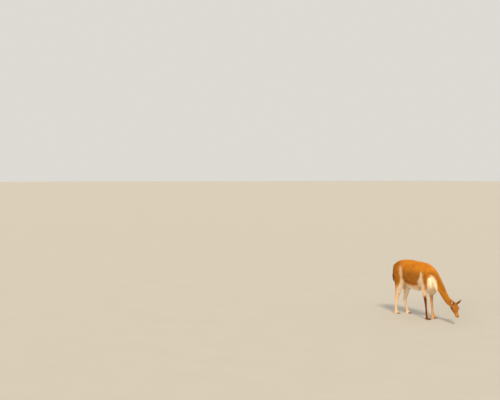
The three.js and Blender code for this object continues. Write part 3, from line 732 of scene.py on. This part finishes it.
def wool_material(name, streak):
    """Vicuna wool and hair: very fine crimped fibre, cinnamon, cream and brown, where the brown also lays
    painted shade. It is matt, with a soft sheen where light grazes it; each tuft is darkened towards its root
    as painted shade between the tufts, and paler at the tips."""
    palette = bpy.context.scene.vicuna_colours
    material, tree = new_material(name)
    marks = add_node(tree, "ShaderNodeAttribute", {"attribute_name": "coat_marks_and_shade"})
    parts = add_node(tree, "ShaderNodeSeparateColor", links={0: marks.outputs["Color"]})
    cream, dark, chance = parts.outputs
    place = object_place(tree)
    patches = mapped(tree, noise(tree, place, 14.0, 3.0), 0.35, 0.65)
    wool = mixed(tree, patches, palette.cinnamon_deep, palette.cinnamon)
    bleached = add_node(tree, "ShaderNodeMath", {"operation": "MULTIPLY", 1: 0.28}, {0: chance}).outputs[0]
    wool = mixed(tree, bleached, wool, palette.cinnamon_pale)
    wool = mixed(tree, dark, wool, palette.brown)
    wool = mixed(tree, cream, wool, mixed(tree, chance, palette.cream_deep, palette.cream))
    # painted shade: the colour darkens towards the root colour near the roots, where the tufts shade each
    # other
    depth = mapped(tree, marks.outputs["Alpha"], 0.0, 0.7, 0.25, 0.0)
    wool = mixed(tree, depth, wool, palette.root)
    bump = add_node(tree, "ShaderNodeBump", {0: 0.35, 1: 0.001}, {"Height": noise(tree, place, streak, 2.0)})
    shader = principled(tree, {"Base Color": wool, "Normal": bump.outputs[0]})
    shader.inputs["Roughness"].default_value = 0.82
    shader.inputs["Specular IOR Level"].default_value = 0.07
    shader.inputs["Sheen Weight"].default_value = 0.04
    shader.inputs["Sheen Roughness"].default_value = 0.45
    return material


def dress(made, slot, material, *nodes):
    """Gives a piece its material and the body it rides on, and hides the solids it stands for. Slot is not
    used.
    """
    made.data.materials.clear()
    made.data.materials.append(material)
    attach(made, "root")
    if nodes:
        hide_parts(*nodes)


def material_named(name, make, *values):
    """The material of that name, made the first time it is asked for."""
    return bpy.data.materials.get(name) or make(name, *values)


SKIN_NODES = ["torso", "neck", "chest_bib", "tail", "head", "ear_left", "ear_right"] + [
    f"{pair}_leg_{word}_{part}" for pair in ("front", "hind") for word in SIDES
    for part in ("upper", "lower", "foot")]
NAIL_NODES = [
    f"{pair}_leg_{word}_nail_{toe}" for pair in ("front", "hind") for word in SIDES for toe in SIDES]
SKIN_VOXEL = 0.004
SKIN_SHARE_KEPT = 0.3


def ear_forms():
    """Both ears as closed shapes, a little inside their coat."""
    share, around = np.linspace(0, len(EAR) - 1, 60), np.linspace(0, 2, 56, endpoint=False)
    places = np.meshgrid(share, around, indexing="ij")
    return [mesh_object(f"ear_form_{word}", *closed(ear_surface(word, *places, -0.8))) for word in SIDES]


def toe_forms():
    """The eight toes as closed shapes, cut flat just over the ground."""
    made = [mesh_object(f"toe_form_{name}", *loft(form, 40, 36, -1.5)) for name, form in TOES.items()]
    for toe in made:
        points, _ = places_and_normals(toe)
        set_places(toe, np.maximum(points, [-np.inf, -np.inf, 0.3]))
    return made


def make_skin():
    """One closed skin: trunk, neck, legs and the cores of tail and bib are joined by a voxel remesh, smoothed
    and sunk by the coat's depth, and the head, ears and toes are then joined on."""
    body = [loft(TRUNK_FORM, 120, 90), loft(NECK_FORM, 110, 64)]
    body += [loft(TAIL_FORM, 50, 28, -6), loft(BIB_FORM, 60, 48, -14)]
    body += [loft(form, 170, 44) for form in LEGS.values()]
    skin = mesh_object("skin", *stacked(body))
    remesh = skin.modifiers.new("one_surface", "REMESH")
    remesh.mode, remesh.voxel_size = "VOXEL", SKIN_VOXEL
    soften = skin.modifiers.new("soften", "SMOOTH")
    soften.factor, soften.iterations = 0.5, 12
    thin = skin.modifiers.new("thin", "DECIMATE")
    thin.ratio = SKIN_SHARE_KEPT
    finished_mesh(skin)
    points, normals = places_and_normals(skin)
    set_places(skin, points - normals * coat_depth(points)[:, None])
    joined(skin, [mesh_object("head_form", *closed(head_rings())), *ear_forms(), *toe_forms()])
    skin.data.shade_smooth()
    points, normals = places_and_normals(skin)
    chance = 0.5 + 0.5 * np.sin(points[:, 0] * 1.7 + points[:, 1] * 2.3 + points[:, 2] * 1.1)
    # the skin counts as part way up a tuft, so it takes a little of the painted root shade
    set_marks(skin, *markings(points, normals), chance, np.full(len(points), 0.45))
    dress(skin, "coat_fawn", material_named("short_hair_on_skin", wool_material, 700.0), *SKIN_NODES)


def on_skin(points):
    """Nearest places on the skin and its normals there, by shrinking loose points onto it twice."""
    skin = bpy.data.objects["skin"]
    results = []
    for mode, offset in (("ON_SURFACE", 0.0), ("ABOVE_SURFACE", 0.002)):
        cloud = mesh_object("roots", points, triangles=np.zeros((1, 3), int) + [0, 1, 2])
        wrap = cloud.modifiers.new("wrap", "SHRINKWRAP")
        wrap.wrap_method, wrap.target = "NEAREST_SURFACEPOINT", skin
        wrap.wrap_mode, wrap.offset = mode, offset
        finished_mesh(cloud)
        results.append(places_and_normals(cloud)[0])
        bpy.data.objects.remove(cloud)
    return results[0], unit(results[1] - results[0])


def scattered(shape_of, rows, count, rng, low=0.0, high=None, cells=(120, 60), turn=2 * np.pi):
    """Random places over a form, even by area: cells of its grid are drawn in step with their running area,
    and each place lies at random in its cell."""
    edges_u = np.linspace(low, rows - 1 if high is None else high, cells[0] + 1)
    edges_v = np.linspace(0, turn, cells[1] + 1)
    corner = shape_of(*np.meshgrid(edges_u, edges_v, indexing="ij"))
    along, across = corner[1:, :-1] - corner[:-1, :-1], corner[:-1, 1:] - corner[:-1, :-1]
    running = np.cumsum(np.linalg.norm(np.cross(along, across), axis=-1).ravel())
    drawn = np.searchsorted(running, (np.arange(count) + rng.random(count)) / count * running[-1])
    i, j = np.divmod(np.minimum(drawn, running.size - 1), cells[1])
    u = edges_u[i] + rng.random(count) * (edges_u[1] - edges_u[0])
    v = edges_v[j] + rng.random(count) * (edges_v[1] - edges_v[0])
    return u, v


def strands(centres, across, faces, widths, sides):
    """Closed tapered strands. Centres hold the points of each middle line, the last one its tip. A ring's
    corners start at one edge. It has its half width across and 0.42 of that towards its face."""
    count, rings = centres.shape[0], centres.shape[1] - 1
    turn = np.array([0, np.pi / 2, np.pi]) if sides == 3 else np.arange(sides) * 2 * np.pi / sides
    ring = (across[:, :, None] * np.cos(turn)[None, None, :, None]
            + faces[:, :, None] * (np.sin(turn) * 0.42)[None, None, :, None]) * widths[..., None, None]
    body = centres[:, :rings, None] + ring
    points = np.concatenate([body.reshape(count, -1, 3), centres[:, -1:]], 1)
    j = np.arange(sides)
    nxt = (j + 1) % sides
    row = (np.arange(rings - 1) * sides)[:, None]
    walls = np.concatenate([np.stack([row + j, row + nxt, row + sides + nxt], -1).reshape(-1, 3),
                            np.stack([row + j, row + sides + nxt, row + sides + j], -1).reshape(-1, 3)])
    tip = np.stack([(rings - 1) * sides + j, (rings - 1) * sides + nxt, 0 * j + rings * sides], -1)
    base = np.stack([0 * j[1:-1], j[2:], j[1:-1]], -1)
    faces_of_one = np.concatenate([walls, tip, base])
    per = rings * sides + 1
    triangles = (faces_of_one[None] + (np.arange(count) * per)[:, None, None]).reshape(-1, 3)
    across_uv = np.concatenate([np.tile(np.cos(turn), rings), [0]])
    along_uv = np.concatenate([np.repeat(np.arange(rings), sides), [rings]]) / rings
    return points.reshape(-1, 3), triangles, across_uv, along_uv


PATCH = 0.003


def coat_piece(name, slot, centres, across, faces, widths, sides, unwrap, marks, chance):
    """One mesh of strands with its markings and painted shade, and its OFBake map: each strand is a small
    patch at its root's place on the unwrap."""
    points, triangles, across_uv, along_uv = strands(centres, across, faces, widths, sides)
    count, per = centres.shape[0], len(across_uv)
    made = mesh_object(name, points, triangles=triangles)
    cream, dark = (np.repeat(value, per) for value in marks)
    set_marks(made, cream, dark, np.repeat(chance, per), np.tile(0.15 + 0.85 * along_uv, count))
    place = np.stack([across_uv * 0.5, along_uv - 0.5], -1) * PATCH
    uv = (unwrap[:, None] * (1 - 2 * PATCH) + PATCH + place[None]).reshape(-1, 2)
    layer = made.data.uv_layers.new(name="OFBake")
    layer.data.foreach_set("uv", uv[triangles.ravel()].astype(np.float32).ravel())
    dress(made, slot, material_named("wool_of_coat", wool_material, 900.0))


def tuft_lines(roots, normals, lie, length, lift, bend):
    """Middle lines of short tufts: from just under the skin, rising to the lift and lying along the coat."""
    side = unit(np.cross(normals, lie))
    share = np.array([0.0, 0.45, 1.0])
    rise = np.array([0.0, 0.8, 1.0])
    lines = (roots[:, None] + lie[:, None] * (length[:, None] * share)[..., None]
             + normals[:, None] * (lift[:, None] * rise - 1.2 * (share == 0))[..., None]
             + side[:, None] * (bend[:, None] * share ** 2)[..., None])
    return lines, side


def coat_over(name, slot, shape_of, rows, count, rng, length, width, lift, way, fall=0.0,
              low=0.0, high=None, keep=None, split=None, turn=2 * np.pi, ruffle=0.22):
    """Covers a form with short tufts. Way is +1 where the coat lies along the form's rows and -1 against them,
    fall how much it also hangs, and length, width and lift are millimetres, or functions of the place."""
    u, v = scattered(shape_of, rows, count, rng, low, high, turn=turn)
    start = shape_of(u, v)
    ahead = shape_of(np.clip(u + 0.02 * way, 0, rows - 1), v)
    behind = shape_of(np.clip(u - 0.02 * way, 0, rows - 1), v)
    roots, normals = on_skin(start)
    out = ((start - roots) * normals).sum(1)
    good = (out > -1.0) & (out < coat_depth(start) + 9)
    if keep is not None:
        good &= keep(roots, normals)
    u, v, roots, normals, lie = u[good], v[good], roots[good], normals[good], unit(ahead - behind)[good]
    lie = lie - fall * Z + rng.normal(0, ruffle, lie.shape)
    lie = unit(lie - (lie * normals).sum(1)[:, None] * normals)
    size = len(u)
    scale = 0.75 + 0.5 * rng.random(size)
    sizes = [np.broadcast_to(s(roots) if callable(s) else s, size) for s in (length, width, lift)]
    lines, side = tuft_lines(
        roots, normals, lie, sizes[0] * scale, sizes[2] * (0.55 + 0.9 * rng.random(size)),
        rng.normal(0, 0.16, size) * sizes[0])
    widths = (sizes[1] * (0.8 + 0.4 * rng.random(size)) / 2)[:, None] * np.array([0.8, 1.0])
    marks, chance = markings(roots, normals), rng.random(size)
    unwrap = np.stack([v / turn, u / (rows - 1)], -1)
    groups = split(roots) if split else {"": np.ones(size, bool)}
    for ending, chosen in groups.items():
        coat_piece(
            name + ending, slot, lines[chosen], np.repeat(side[chosen][:, None], 2, 1),
            np.repeat(normals[chosen][:, None], 2, 1), widths[chosen], 3, unwrap[chosen],
            [m[chosen] for m in marks], chance[chosen])


def quarter(roots):
    """The trunk's coat in four pieces: left and right, front and rear."""
    left, front = roots[:, 1] > 0, roots[:, 0] > -250
    return {"_left_front": left & front, "_left_rear": left & ~front, "_right_front": ~left & front,
            "_right_rear": ~left & ~front}


def hanging_locks(
        name, slot, form, count, rng, low, high, length, width, splay, depth, keep=None, grow=-12.0):
    """Long flat locks that start on a core and hang: out of it at first, then down, with a sideways drift."""
    rows = len(form["table"])
    u, angle = scattered(lambda a, b: surface(form, a, b, grow), rows, count, rng, low, high)
    roots = surface(form, u, angle, grow)
    out = unit(surface(form, u, angle, grow + 8) - roots)
    if keep is not None:
        good = keep(roots, out)
        u, angle, roots, out = u[good], angle[good], roots[good], out[good]
    size = len(u)
    side = unit(np.cross(out, Z))
    long_mm = length * (0.75 + 0.5 * rng.random(size))
    drift = rng.normal(0, 0.10, size) * long_mm
    share = np.array([0.0, 0.22, 0.5, 0.78, 1.0])
    away = np.array([0.0, 0.8, 1.0, 0.9, 0.6]) * splay
    down = np.array([0.0, 0.16, 0.44, 0.74, 1.0])
    wave = np.sin(share * 5)[None] * rng.normal(0, 0.03, size)[:, None] * long_mm[:, None]
    lines = (roots[:, None] + out[:, None] * (long_mm[:, None] * away + depth * (share > 0))[..., None]
             - Z * (long_mm[:, None] * down)[..., None]
             + side[:, None] * (drift[:, None] * share ** 1.6 + wave)[..., None])
    steps = unit(lines[:, 1:] - lines[:, :-1])
    across = unit(np.cross(out[:, None], steps))
    face = np.cross(steps, across)
    widths = (width * (0.8 + 0.4 * rng.random(size)) / 2)[:, None] * np.array([0.7, 1.0, 0.9, 0.6])
    unwrap = np.stack([(angle % (2 * np.pi)) / (2 * np.pi), u / (rows - 1)], -1)
    marks, chance = markings(roots, out), rng.random(size)
    coat_piece(name, slot, lines, across, face, widths, 4, unwrap, marks, chance)


def hair_length(name, default, description):
    """A setting for a length of hair, in metres."""
    return bpy.props.FloatProperty(name=name, description=description, default=default, unit="LENGTH")


class VicunaSizes(bpy.types.PropertyGroup):
    body_tuft: hair_length("Body tuft", 0.024, "Length of the wool's tufts on the trunk")
    neck_tuft: hair_length("Neck tuft", 0.020, "Length of the tufts on the neck")
    leg_tuft: hair_length("Leg tuft", 0.010, "Length of the tufts low on the legs")
    face_tuft: hair_length("Face tuft", 0.008, "Length of the hair on the cheeks")
    bib_lock: hair_length("Bib lock", 0.105, "Length of the long hair of the chest")
    tail_lock: hair_length("Tail lock", 0.085, "Length of the long hair of the tail")


def colour(name, hex_default, description):
    """A colour setting."""
    return bpy.props.FloatVectorProperty(
        name=name, description=description, default=linear(hex_default), subtype="COLOR", size=3, min=0,
        max=1)


class VicunaColours(bpy.types.PropertyGroup):
    cinnamon: colour("Cinnamon", "#e99614", "Main colour of the wool")
    cinnamon_deep: colour("Deep cinnamon", "#d27a0c", "Darker patches of the wool")
    cinnamon_pale: colour("Pale cinnamon", "#f0ab48", "Sun-bleached tufts")
    # brown also paints shade on the rump, flanks, neck sides, creases, shins and behind the ear
    brown: colour("Brown", "#4a1e06", "Rump edge, nose bridge, lids and nostrils")
    cream: colour("Cream", "#f7ecd8", "Bib, belly and inner legs")
    cream_deep: colour("Deep cream", "#f1cb92", "Shaded strands of the pale parts")
    # root is the colour of the painted shade down between the tufts
    root: colour("Root", "#a8640f", "Colour down between the tufts")
    nail: colour("Nail", "#2f2822", "Horn of the nails")
    iris: colour("Iris", "#2b1608", "Dark brown iris")
    floor: colour("Floor", "#b7b3aa", "Studio floor")


class VICUNA_OT_skin(bpy.types.Operator):
    """Makes the skin with head, ears and toes"""
    bl_idname = "vicuna.skin"
    bl_label = "Skin"

    def execute(self, context):
        make_skin()
        return {"FINISHED"}


class VICUNA_OT_eyes(bpy.types.Operator):
    """Makes both eyeballs with iris, pupil and a bulging cornea"""
    bl_idname = "vicuna.eyes"
    bl_label = "Eyes"

    def execute(self, context):
        material = material_named("wet_eye", eye_material)
        for word, side in SIDES.items():
            made = make_eye(word, side)
            dress(made, "eye", material, f"eye_{word}")
        return {"FINISHED"}


def make_eye(word, side):
    """A ball of circles from back to front about the gaze, its radius raised by the cornea's bell."""
    polar = np.linspace(0.02, np.pi - 0.02, 50)[:, None]
    turn = (np.arange(64) * 2 * np.pi / 64)[None]
    middle, gaze = EYE_AT * [1, side, 1], EYE_OUT * [1, side, 1]
    long_way = unit(X - X @ gaze * gaze)
    high_way = np.cross(gaze, long_way) * side
    radius = EYE_RADIUS + 1.1 * bell(polar, 0.62)
    flat = radius * np.sin(polar)
    rings = (middle + gaze * (radius * np.cos(polar))[..., None]
             + long_way * (flat * np.cos(turn))[..., None] + high_way * (flat * np.sin(turn))[..., None])
    made = mesh_object(f"eyeball_{word}", *closed(from_head(rings)))
    points = to_head(places_and_normals(made)[0]) - middle
    front = (points @ gaze) > 0
    oval = np.hypot(points @ long_way / PUPIL_HALF[0], points @ high_way / PUPIL_HALF[1])
    off_axis = np.linalg.norm(points - (points @ gaze)[:, None] * gaze, axis=1)
    pupil, iris = ramp(oval, 1.12, 0.88) * front, ramp(off_axis, 13.0, 11.4) * front
    store(made, "eye_parts", pupil, iris, 0 * iris, 0 * iris + 1)
    return made


def eye_material(name):
    """Eye under its tear film: a wet, clear, glossy coat over a dark iris with a level oval pupil."""
    material, tree = new_material(name)
    parts = add_node(tree, "ShaderNodeAttribute", {"attribute_name": "eye_parts"})
    pupil, iris, _ = add_node(tree, "ShaderNodeSeparateColor", links={0: parts.outputs["Color"]}).outputs
    rays = noise(tree, object_place(tree), 700.0, 3.0)
    shown = mixed(tree, rays, bpy.context.scene.vicuna_colours.iris, linear("#4a2a12"))
    shown = mixed(tree, iris, linear("#1a100a"), shown)
    shown = mixed(tree, pupil, shown, linear("#050404"))
    shader = principled(tree, {"Base Color": shown})
    shader.inputs["Roughness"].default_value = 0.12
    shader.inputs["IOR"].default_value = 1.38
    shader.inputs["Coat Weight"].default_value = 1.0
    shader.inputs["Coat Roughness"].default_value = 0.03
    return material


class VICUNA_OT_nails(bpy.types.Operator):
    """Makes the eight nails"""
    bl_idname = "vicuna.nails"
    bl_label = "Nails"

    def execute(self, context):
        made = mesh_object("nails", *stacked([loft(form, 34, 30) for form in NAILS.values()]))
        dress(made, "nail", material_named("dark_horn", horn_material), *NAIL_NODES)
        return {"FINISHED"}


def horn_material(name):
    """Horn of hooves: layered keratin, dull and dark, with fine growth rings and dusty scratches."""
    material, tree = new_material(name)
    place = object_place(tree)
    wave = {"bands_direction": "X", 1: 260.0, 2: 3.0}
    rings = add_node(tree, "ShaderNodeTexWave", wave, {0: place}).outputs[1]
    dust = noise(tree, place, 120.0, 4.0)
    worn = mapped(tree, dust, 0.5, 0.75, 0.0, 0.5)
    shown = mixed(tree, worn, bpy.context.scene.vicuna_colours.nail, linear("#8a755c"))
    bump = add_node(tree, "ShaderNodeBump", {0: 0.3, 1: 0.0006}, {"Height": rings})
    rough = mapped(tree, dust, 0.3, 0.7, 0.42, 0.65)
    shader = principled(tree, {"Base Color": shown, "Normal": bump.outputs[0], "Roughness": rough})
    shader.inputs["IOR"].default_value = 1.54
    return material


def over(form):
    """A form's surface as a function of row and angle, and its number of rows."""
    return (lambda u, v: surface(form, u, v)), len(form["table"])


class VICUNA_OT_body_coat(bpy.types.Operator):
    """Covers trunk and neck with short overlapping tufts of wool"""
    bl_idname = "vicuna.body_coat"
    bl_label = "Coat of trunk and neck"

    def execute(self, context):
        sizes = context.scene.vicuna_sizes
        rng = np.random.default_rng(11)
        body, neck = sizes.body_tuft * 1000, sizes.neck_tuft * 1000
        coat_over("coat_trunk", "coat_fawn", *over(TRUNK_FORM), 60000, rng,
                  length=lambda p: body * (0.85 + 0.35 * ramp(p[:, 2], 560, 440)), width=3.4, lift=6.0,
                  way=-1, fall=0.3, split=quarter, ruffle=0.13)
        coat_over("coat_neck", "coat_fawn", *over(NECK_FORM), 19500, rng,
                  length=lambda p: neck * (1 - 0.4 * ramp(p[:, 0], 300, 420)), width=2.9,
                  lift=lambda p: 5.5 - 3.0 * ramp(p[:, 0], 300, 420), way=-1, fall=0.1, low=0.6, ruffle=0.13)
        return {"FINISHED"}


class VICUNA_OT_leg_coat(bpy.types.Operator):
    """Covers the legs and feet with short tufts that grow shorter downwards"""
    bl_idname = "vicuna.leg_coat"
    bl_label = "Coat of legs and feet"

    def execute(self, context):
        rng = np.random.default_rng(12)
        short = context.scene.vicuna_sizes.leg_tuft * 1000
        for name, form in LEGS.items():
            count = 11500 if name.startswith("hind") else 8000
            coat_over(f"coat_{name}", "coat_leg", *over(form), count, rng,
                      length=lambda p: short * (0.9 + 1.1 * ramp(p[:, 2], 220, 480)),
                      width=lambda p: 2.3 + 1.9 * ramp(p[:, 2], 240, 480),
                      lift=lambda p: 2.0 + 4.5 * ramp(p[:, 2], 300, 540),
                      way=1, fall=0.2, low=0.8, high=len(form["table"]) - 1.6)
        for name, form in TOES.items():
            coat_over(f"coat_toe_{name}", "coat_foot", *over(form), 650, rng, length=6.0, width=2.0, lift=1.3,
                      way=1, high=4.2, keep=lambda p, n: (p[:, 2] > 2.5) & (n[:, 2] > -0.4))
        return {"FINISHED"}


class VICUNA_OT_head_coat(bpy.types.Operator):
    """Covers face and ears with very short hair, and sets the lashes"""
    bl_idname = "vicuna.head_coat"
    bl_label = "Coat of head"

    def execute(self, context):
        rng = np.random.default_rng(13)
        face = context.scene.vicuna_sizes.face_tuft * 1000

        def bare(points, normals):
            local = to_head(points)
            nostril, above, _ = face_places(local)
            lips = (np.abs(above) > 2.2) | (local[:, 0] < 152)
            return (lid_place(local)[0] > 1.3) & (nostril > 6.0) & lips

        def shorter(points):
            return 1 - 0.5 * ramp(to_head(points)[:, 0], 130, 200)

        def face_surface(u, v):
            return from_head(surface(HEAD_FORM, u, v))

        coat_over("coat_head", "coat_face", face_surface, len(HEAD), 19000, rng,
                  length=lambda p: face * 1.1 * shorter(p), width=lambda p: 1.9 * shorter(p) + 0.2,
                  lift=lambda p: 1.7 * shorter(p), way=-1, low=1.2, keep=bare, ruffle=0.16)
        for word in SIDES:
            coat_over(f"coat_ear_{word}", "coat_ear", lambda u, v: ear_surface(word, u, v, 0.4), len(EAR),
                      3600, rng, length=8.5, width=1.9, lift=1.2, way=1, low=0.9, turn=2.0, ruffle=0.12)
        make_lashes(rng)
        return {"FINISHED"}


def make_lashes(rng):
    """Dark lashes along both upper lids: from the lid's edge out, then curving down."""
    count = 46
    share = np.array([0, 0.4, 0.75, 1.0])
    out = np.array([0, 0.42, 0.72, 0.88])
    drop = np.array([0, -0.02, 0.14, 0.36])
    turn = np.linspace(0.12, 0.88, count) * np.pi
    up = LID_HIGH * np.sign(LID_HIGH[2])
    spread = LID_LONG * np.cos(turn)[:, None] * LID_HALF[0] + up * np.sin(turn)[:, None] * LID_HALF[1]
    height = np.sqrt(np.maximum(EYE_RADIUS ** 2 - (spread ** 2).sum(1), 4)) + 1.6
    root = EYE_AT + spread * 1.06 + EYE_OUT * height[:, None]
    lines = []
    for side in SIDES.values():
        long_mm = ((9 + 5 * np.sin(turn)) * (0.8 + 0.4 * rng.random(count)))[:, None]
        line = (root[:, None] + EYE_OUT * (long_mm * out)[..., None]
                + unit(spread)[:, None] * (long_mm * share * 0.25)[..., None]
                - Z * (long_mm * drop)[..., None])
        lines.append(from_head(line * [1, side, 1]))
    lines = np.concatenate(lines)
    steps = unit(lines[:, 1:] - lines[:, :-1])
    across = unit(np.cross(steps, HEAD_TURN @ X + 0.3 * Z))
    face = np.cross(steps, across)
    widths = np.full((len(lines), 1), 0.45) * np.array([1, 0.8, 0.5])
    unwrap = np.stack([np.linspace(0.05, 0.95, len(lines)), np.full(len(lines), 0.5)], -1)
    none, full = np.zeros(len(lines)), np.ones(len(lines))
    coat_piece("lashes", "coat_face", lines, across, face, widths, 3, unwrap, (none, full), none)


class VICUNA_OT_long_hair(bpy.types.Operator):
    """Hangs the long locks of chest, belly and tail"""
    bl_idname = "vicuna.long_hair"
    bl_label = "Long hair"

    def execute(self, context):
        sizes = context.scene.vicuna_sizes
        rng = np.random.default_rng(14)
        bib, tail = sizes.bib_lock * 1000, sizes.tail_lock * 1000
        hanging_locks("coat_bib", "coat_white", BIB_FORM, 3600, rng, low=0.9, high=5.8,
                      length=bib, width=6.0, splay=0.07, depth=12.0)
        hanging_locks("coat_throat", "coat_white", NECK_FORM, 2600, rng, low=1.2, high=5.2,
                      length=0.62 * bib, width=4.6, splay=0.05, depth=8.0, grow=-10.0,
                      keep=lambda p, n: (markings(p, n)[0] > 0.55) & (n[:, 0] > -0.6) & (n[:, 2] < 0.35))
        hanging_locks("coat_tail", "coat_tail", TAIL_FORM, 1500, rng, low=0.7, high=5.6,
                      length=tail, width=6.5, splay=0.05, depth=5.0, grow=-5.0)
        hanging_locks("coat_belly", "coat_white", TRUNK_FORM, 6000, rng, low=3.0, high=11.5,
                      length=27.0, width=4.0, splay=0.10, depth=8.0, grow=-11.0,
                      keep=lambda p, n: (n[:, 2] < -0.55) & (p[:, 2] < 520))
        return {"FINISHED"}


class VICUNA_OT_stage(bpy.types.Operator):
    """Sets floor, light and camera"""
    bl_idname = "vicuna.stage"
    bl_label = "Floor, light and camera"

    def execute(self, context):
        make_floor()
        make_lights()
        make_camera()
        return {"FINISHED"}


FLOOR_REACH = 400.0
# lamps: name, strength, degrees across, colour, and where it shines from
LAMPS = [("sun", 2.7, 14, "#ffeed6", (5.7, -3.0, 6.9)), ("fill", 2.4, 50, "#fff0da", (3.2, -6.4, 1.8))]
LIT_PLACE = Vector((0, 0, 0.45))


def make_floor():
    """A wide flat floor of pale paper."""
    corners = [(x * FLOOR_REACH, y * FLOOR_REACH, 0) for x, y in ((-1, -1), (1, -1), (1, 1), (-1, 1))]
    mesh = bpy.data.meshes.new("floor")
    mesh.from_pydata(corners, [], [(0, 1, 2, 3)])
    material, tree = new_material("matt_paper")
    tone = bpy.context.scene.vicuna_colours.floor
    grain = noise(tree, object_place(tree), 2.0, 4.0)
    shader = principled(tree, {"Base Color": mixed(tree, grain, tone, tuple(c * 0.93 for c in tone))})
    shader.inputs["Roughness"].default_value = 0.9
    mesh.materials.append(material)
    new_object("floor", mesh)


def make_lights():
    """A soft sun high on the camera's right, a weaker and wider one low behind it and pale surroundings."""
    world = bpy.data.worlds.new("studio")
    world.use_nodes = True
    back = world.node_tree.nodes["Background"]
    back.inputs[0].default_value = (*linear("#f4f1ea"), 1)
    back.inputs[1].default_value = 0.8
    bpy.context.scene.world = world
    bpy.context.scene.view_settings.view_transform = "Standard"
    for name, strength, across, tint, place in LAMPS:
        light = bpy.data.lights.new(name, "SUN")
        light.energy, light.angle, light.color = strength, math.radians(across), linear(tint)
        lamp = new_object(name, light)
        lamp.location = place
        lamp.rotation_euler = (LIT_PLACE - Vector(place)).to_track_quat("-Z", "Y").to_euler()


CAMERA_AZIMUTH = 42.0
CAMERA_DISTANCE = 11.15
CAMERA_HEIGHT = 2.0
CAMERA_OFFSET = 0.010
CAMERA_LENS = 55.0
AIM_LEFT = 13.08
AIM_DOWN = 1.65


def make_camera():
    """The photo's view: a long lens off to the animal's front right, aimed left of it and a little down."""
    azimuth = math.radians(CAMERA_AZIMUTH)
    lens = bpy.data.cameras.new("camera")
    lens.lens, lens.sensor_width, lens.clip_end = CAMERA_LENS, 36.0, 1000
    camera = new_object("camera", lens)
    across, back = math.sin(azimuth) * CAMERA_DISTANCE, math.cos(azimuth) * CAMERA_DISTANCE
    camera.location = (across + CAMERA_OFFSET, -back, CAMERA_HEIGHT)
    camera.rotation_euler = (math.radians(90 - AIM_DOWN), 0, azimuth + math.radians(AIM_LEFT))
    bpy.context.scene.camera = camera


OPERATORS = [VICUNA_OT_skin, VICUNA_OT_eyes, VICUNA_OT_nails, VICUNA_OT_body_coat, VICUNA_OT_leg_coat,
             VICUNA_OT_head_coat, VICUNA_OT_long_hair, VICUNA_OT_stage]


class VICUNA_PT_panel(bpy.types.Panel):
    """Sizes, colours and steps of the vicuna"""
    bl_idname = "VICUNA_PT_panel"
    bl_label = "Vicuna"
    bl_space_type = "VIEW_3D"
    bl_region_type = "UI"
    bl_category = "Vicuna"

    def draw(self, context):
        for group in (context.scene.vicuna_sizes, context.scene.vicuna_colours):
            for key in group.__annotations__:
                self.layout.prop(group, key)
        for operator in OPERATORS:
            self.layout.operator(operator.bl_idname)


CLASSES = [VicunaSizes, VicunaColours, *OPERATORS, VICUNA_PT_panel]


def register():
    """Adds the settings, steps and panel."""
    for cls in CLASSES:
        bpy.utils.register_class(cls)
    bpy.types.Scene.vicuna_sizes = bpy.props.PointerProperty(type=VicunaSizes)
    bpy.types.Scene.vicuna_colours = bpy.props.PointerProperty(type=VicunaColours)


def unregister():
    """Takes them away again."""
    del bpy.types.Scene.vicuna_colours
    del bpy.types.Scene.vicuna_sizes
    for cls in reversed(CLASSES):
        bpy.utils.unregister_class(cls)


def main():
    """Runs every step once."""
    register()
    for operator in OPERATORS:
        group, name = operator.bl_idname.split(".")
        getattr(getattr(bpy.ops, group), name)()


if __name__ == "__main__":
    main()
